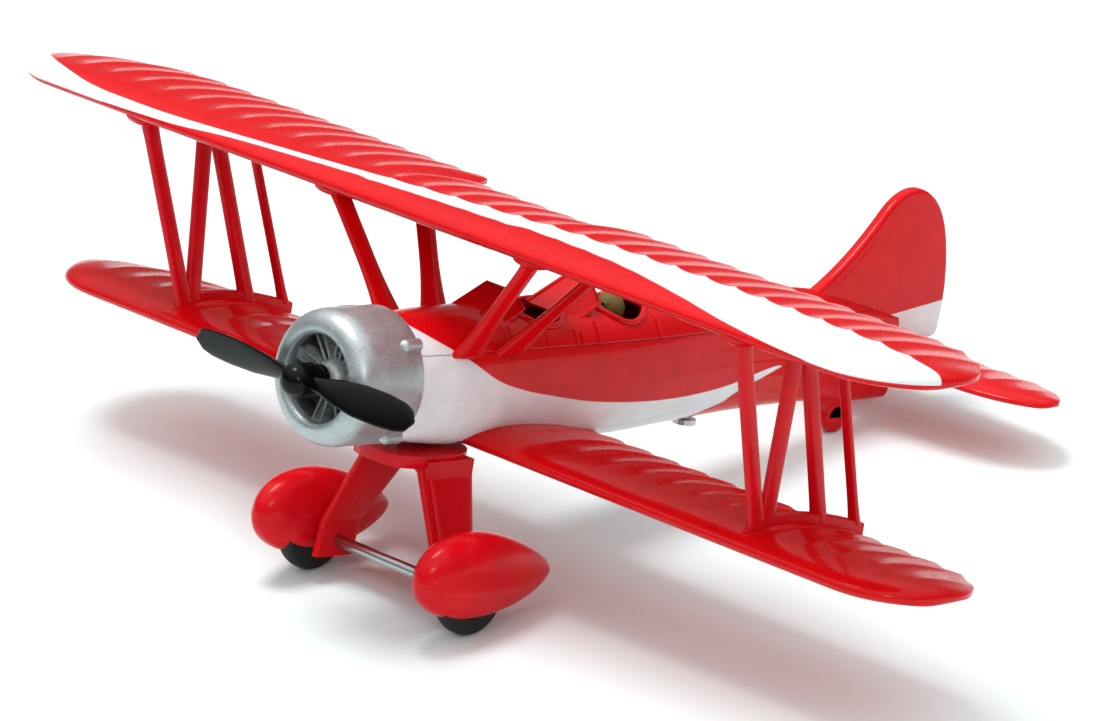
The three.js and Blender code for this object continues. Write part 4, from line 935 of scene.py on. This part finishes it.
# ---- Landing gear ----
# One red moulding: a belly plate with a rounded rear tab, screwed up under the body, and two flat legs
# with a raised front rib, which widen at the top and clip over the axle inside the spats.
AXLE = np.array([0, 15.4, -21.2])
LEG_TOP = dict(out=3.9, y=17.2, z=-9.15, chord=8)
LEG_FOOT = dict(out=8.7, y=15.4, z=-22.94, chord=5.6)
plate_top = -BELLY_DEPTH - 0.3
arc = [(4.8 * math.cos(a), 17.6 + 4.8 * math.sin(a)) for a in np.linspace(0, np.pi, 24)]
plate_outline = [(-4.8, 13.4), (-3.4, 10.8), (-1.6, 10.2), (1.6, 10.2), (3.4, 10.8), (4.8, 13.4)] + arc
plate = loft([[(x * grow, y, z) for x, y in plate_outline]
              for z, grow in ((plate_top - 0.9, 0.97), (plate_top - 0.75, 1), (plate_top + 0.5, 1))])
arch = []
for x in np.linspace(-5.2, 5.2, 25):
    under = plate_top - 0.7 - 2.6 * abs(x / 5.2) ** 2.4
    arch.append([(x, 13.9, under), (x, 13.6, under + 0.3), (x, 13.6, plate_top), (x, 20.4, plate_top),
                 (x, 20.4, under + 0.3), (x, 20.1, under)])
gear_parts = [plate, loft(arch)]
for side in (1, -1):
    rings, rib = [], []
    turn = np.linspace(0, 2 * np.pi, 40, endpoint=False)
    for share in np.linspace(0, 1, 40):
        chord = LEG_TOP["chord"] + (LEG_FOOT["chord"] - LEG_TOP["chord"]) * min(1, share / 0.78)
        out = LEG_TOP["out"] + (LEG_FOOT["out"] - LEG_TOP["out"]) * min(1, share / 0.72)
        y = LEG_TOP["y"] + (LEG_FOOT["y"] - LEG_TOP["y"]) * share
        z = LEG_TOP["z"] + (LEG_FOOT["z"] - LEG_TOP["z"]) * share
        section = np.sign(np.sin(turn)) * np.abs(np.sin(turn)) ** 0.5
        lengthwise = np.sign(np.cos(turn)) * np.abs(np.cos(turn)) ** 0.7
        fillet = 1 + 0.5 * math.exp(-share / 0.05)
        rings.append(np.stack([side * (out + 0.6 * fillet * section), y + chord / 2 * lengthwise,
                               np.full_like(turn, z)], 1))
        rib.append((side * (out + 0.62), y - chord / 2 + 1.1, z))
    gear_parts.append(loft(rings))
    gear_parts.append(tube(rib[2:-4], 0.32, 10))
add_piece("undercarriage_moulding", join(*gear_parts), red_plastic, replaces=["undercarriage"],
          sharp=45)

# ---- Spats ----
# Fat teardrop fairings moulded in red plastic, each with a soft crease along its outer side.
# A well for the wheel opens below, and a slot in the inner wall lets the axle in.
SPAT_FRONT, SPAT_LENGTH = 6.9, 19.8
SPAT_OUT, SPAT_HEIGHT = 12.55, -18.9
SPAT_HALF_WIDTH, SPAT_HALF_HEIGHT = 2.95, 4.7
WHEEL_OUT = 12.2
for word, side in (("left", 1), ("right", -1)):
    turn = np.linspace(0, 2 * np.pi, 72, endpoint=False)
    rings = []
    for share in (1 - np.cos(np.linspace(0, np.pi, 56))) / 2:
        fat = max(0.03, math.sin(math.pi * min(1, share ** 0.72)) ** 0.62)
        drop = max(0.0, share - 0.5) * 1.4
        crease = 0.16 * np.exp(-((turn - 1.75) / 0.12) ** 2) * fat
        across = SPAT_HALF_WIDTH * fat * np.sign(np.sin(turn)) * np.abs(np.sin(turn)) ** 0.8 + crease
        z = SPAT_HEIGHT - 0.4 * drop + SPAT_HALF_HEIGHT * fat * np.cos(turn)
        y = np.full_like(turn, SPAT_FRONT + SPAT_LENGTH * share)
        rings.append(np.stack([side * (SPAT_OUT + across), y, z], 1))
    spat = add_piece("spat_moulding_" + word, loft(rings), red_plastic, replaces=["spat_" + word],
                     sharp=50)
    middle = WHEEL_OUT * side
    well = join(
        lathe([(4.8, middle - 1.7), (4.8, middle + 1.7)], "x", (0, AXLE[1], AXLE[2]), 64),
        block(middle - 1.69, middle + 1.69, AXLE[1] - 4.79, AXLE[1] + 4.79, AXLE[2] - 9, AXLE[2]),
    )
    near, far = sorted((side * 9, side * 12))
    slot_shape = block(near, far, AXLE[1] - 0.9, AXLE[1] + 0.9, AXLE[2] - 9, AXLE[2] + 0.8)
    for tool_name, tool in (("well", well), ("slot", slot_shape)):
        cutter = add_piece(tool_name + "_" + word, tool, red_plastic)
        hollow = spat.modifiers.new(tool_name, "BOOLEAN")
        hollow.operation = "DIFFERENCE"
        hollow.object = cutter
        hollow.solver = "EXACT"
        hollow.use_self = True
        bpy.context.view_layer.objects.active = spat
        with bpy.context.temp_override(object=spat, active_object=spat, selected_objects=[spat]):
            bpy.ops.object.modifier_apply(modifier=hollow.name)
        bpy.data.objects.remove(cutter)
    spat.data.set_sharp_from_angle(angle=math.radians(42))

# ---- Wheels and axle ----
# Two discs of hard black rubber with rounded treads and dished faces, pressed on a drawn steel axle.
# The axle lies in the slots of the legs and spats, so all three turn together.
rubber = moulded_plastic("tyre_rubber", "#232323", (0.5, 0.7), 0.04)
for word, side in (("left", 1), ("right", -1)):
    middle = WHEEL_OUT * side
    profile = [(0.68, -1.1), (2.2, -1.05), (3.3, -1.15), (3.9, -1.1)]
    profile += [(3.75 + 0.55 * math.cos(a), 1.2 * math.sin(a)) for a in np.linspace(-1.2, 1.2, 13)]
    profile += [(3.9, 1.1), (3.3, 1.15), (2.5, 1.05), (2.3, 0.75), (1.2, 0.8), (0.68, 1.1)]
    placed = [(radius, middle + side * along) for radius, along in profile]
    shape = lathe(placed, "x", (0, AXLE[1], AXLE[2]), 72, ends_joined=True)
    add_piece("wheel_disc_" + word, shape, rubber, body="wheelset", replaces=["wheel_" + word],
              sharp=30)
axle_ends = [(0.3, -12.8), (0.6, -12.72), (0.68, -12.6), (0.68, 12.6), (0.6, 12.72), (0.3, 12.8)]
add_piece("axle_rod", lathe(axle_ends, "x", (0, AXLE[1], AXLE[2]), 40), steel, body="wheelset",
          replaces=["axle"])

# ---- Tail wheel ----
# A small wheel moulded in one with its bracket, in the same red plastic as the landing gear.
# The bracket's top is let in under the tail, and the wheel doesn't turn.
bracket_top = float(hull(82.3)[2]) + 1
bracket = []
for x, inset in ((-0.95, 0.25), (-0.7, 0), (0.7, 0), (0.95, 0.25)):
    bracket.append([(x, 80 + inset, bracket_top), (x, 84.6 - inset, bracket_top), (x, 83.74 - inset, -9.1),
                    (x, 80.86 + inset, -9.1)])
disc = [(0.3, -0.95), (1.3, -0.95), (1.6, -0.85)]
disc += [(1.5 + 0.3 * math.cos(a), 0.85 * math.sin(a)) for a in np.linspace(-1.3, 1.3, 9)]
disc += [(1.6, 0.85), (1.3, 0.95), (0.3, 0.95)]
add_piece("tail_wheel_moulding", join(loft(bracket), lathe(disc, "x", (0, 82.3, -9.1), 48)), red_plastic,
          replaces=["tail_wheel"], sharp=35)

# ---- Screws ----
# Two plated steel screws with cross heads, driven up from below to hold the castings together.
# They are shown as they were modelled, in the same steel as the axle.
for name, node in frame["nodes"].items():
    if "screw" in name and "windscreen" not in name:
        node.data.materials.clear()
        node.data.materials.append(steel)

# ---- Stage ----
# A pale seamless floor under soft studio light: a broad key above and to the left, and a weak fill.
# The floor's faint blue-green cancels the red light that the wings throw down on it.
floor_mesh = bpy.data.meshes.new("floor")
FLOOR_HALF = 6
floor_corners = [(x * FLOOR_HALF, y * FLOOR_HALF, 0) for x, y in ((-1, -1), (1, -1), (1, 1), (-1, 1))]
floor_mesh.from_pydata(floor_corners, [], [(0, 1, 2, 3)])
floor = bpy.data.objects.new("floor", floor_mesh)
bpy.context.scene.collection.objects.link(floor)
paper, tree, shader, place = new_material("paper_sweep", {"Roughness": 0.9, "Specular IOR Level": 0.1})
tone = add(tree, "ShaderNodeTexNoise", {"Scale": 0.02, "Detail": 2}, {"Vector": place})
ramp = add(tree, "ShaderNodeMapRange", {"To Min": 0.90, "To Max": 0.92}, {"Value": tone})
tinge = add(tree, "ShaderNodeVectorMath", {0: (0.88, 1, 1)}, {1: ramp}, operation="MULTIPLY")
tree.links.new(tinge.outputs[0], shader.inputs["Base Color"])
floor_mesh.materials.append(paper)

# The surroundings are dim near the horizon and bright overhead, so that the paint's flanks stay deep.
world = bpy.data.worlds.new("studio")
bpy.context.scene.world = world
world.use_nodes = True
sky = world.node_tree.nodes["Background"]
sky.inputs["Color"].default_value = (1, 1, 1, 1)
direction = add(world.node_tree, "ShaderNodeTexCoord")
height = add(world.node_tree, "ShaderNodeSeparateXYZ", None, {0: direction.outputs["Generated"]})
glow = add(world.node_tree, "ShaderNodeMapRange", {
    "From Min": 0.2, "From Max": 0.85, "To Min": 0.16, "To Max": 1.3,
}, {"Value": height.outputs["Z"]}, interpolation_type="SMOOTHSTEP")
world.node_tree.links.new(glow.outputs[0], sky.inputs["Strength"])


def add_light(name, place, aim, size, power):
    """A round area light that faces a point."""
    lamp = bpy.data.lights.new(name, "AREA")
    lamp.shape = "DISK"
    lamp.size = size
    lamp.energy = power
    holder = bpy.data.objects.new(name, lamp)
    holder.location = place
    holder.rotation_euler = (Vector(aim) - Vector(place)).to_track_quat("-Z", "Y").to_euler()
    bpy.context.scene.collection.objects.link(holder)


add_light("key", (-0.25, -0.1, 1.2), (0, 0, 0), 0.5, 8.6)
add_light("fill", (1.1, -0.75, 0.7), (0, 0, 0), 0.3, 3.4)
bpy.context.scene.view_settings.view_transform = "Standard"

# ---- Camera ----
# A long lens from ahead and to port, a little above the wings, so that the top of the upper wing is seen
# and its near and far tips are drawn at nearly one scale.
AZIMUTH, ELEVATION, DISTANCE = math.radians(45.77), math.radians(21.77), 0.8116
aim = Vector((-0.0043, -0.00773, 0.01838))
level = math.cos(ELEVATION)
back = Vector((math.sin(AZIMUTH) * level, -math.cos(AZIMUTH) * level, math.sin(ELEVATION)))
lens = bpy.data.cameras.new("camera")
lens.lens = 244.8
lens.sensor_width = 36
lens.clip_end = 50
camera = bpy.data.objects.new("camera", lens)
camera.location = aim + back * DISTANCE
camera.rotation_euler = back.to_track_quat("Z", "Y").to_euler()
bpy.context.scene.collection.objects.link(camera)
bpy.context.scene.camera = camera
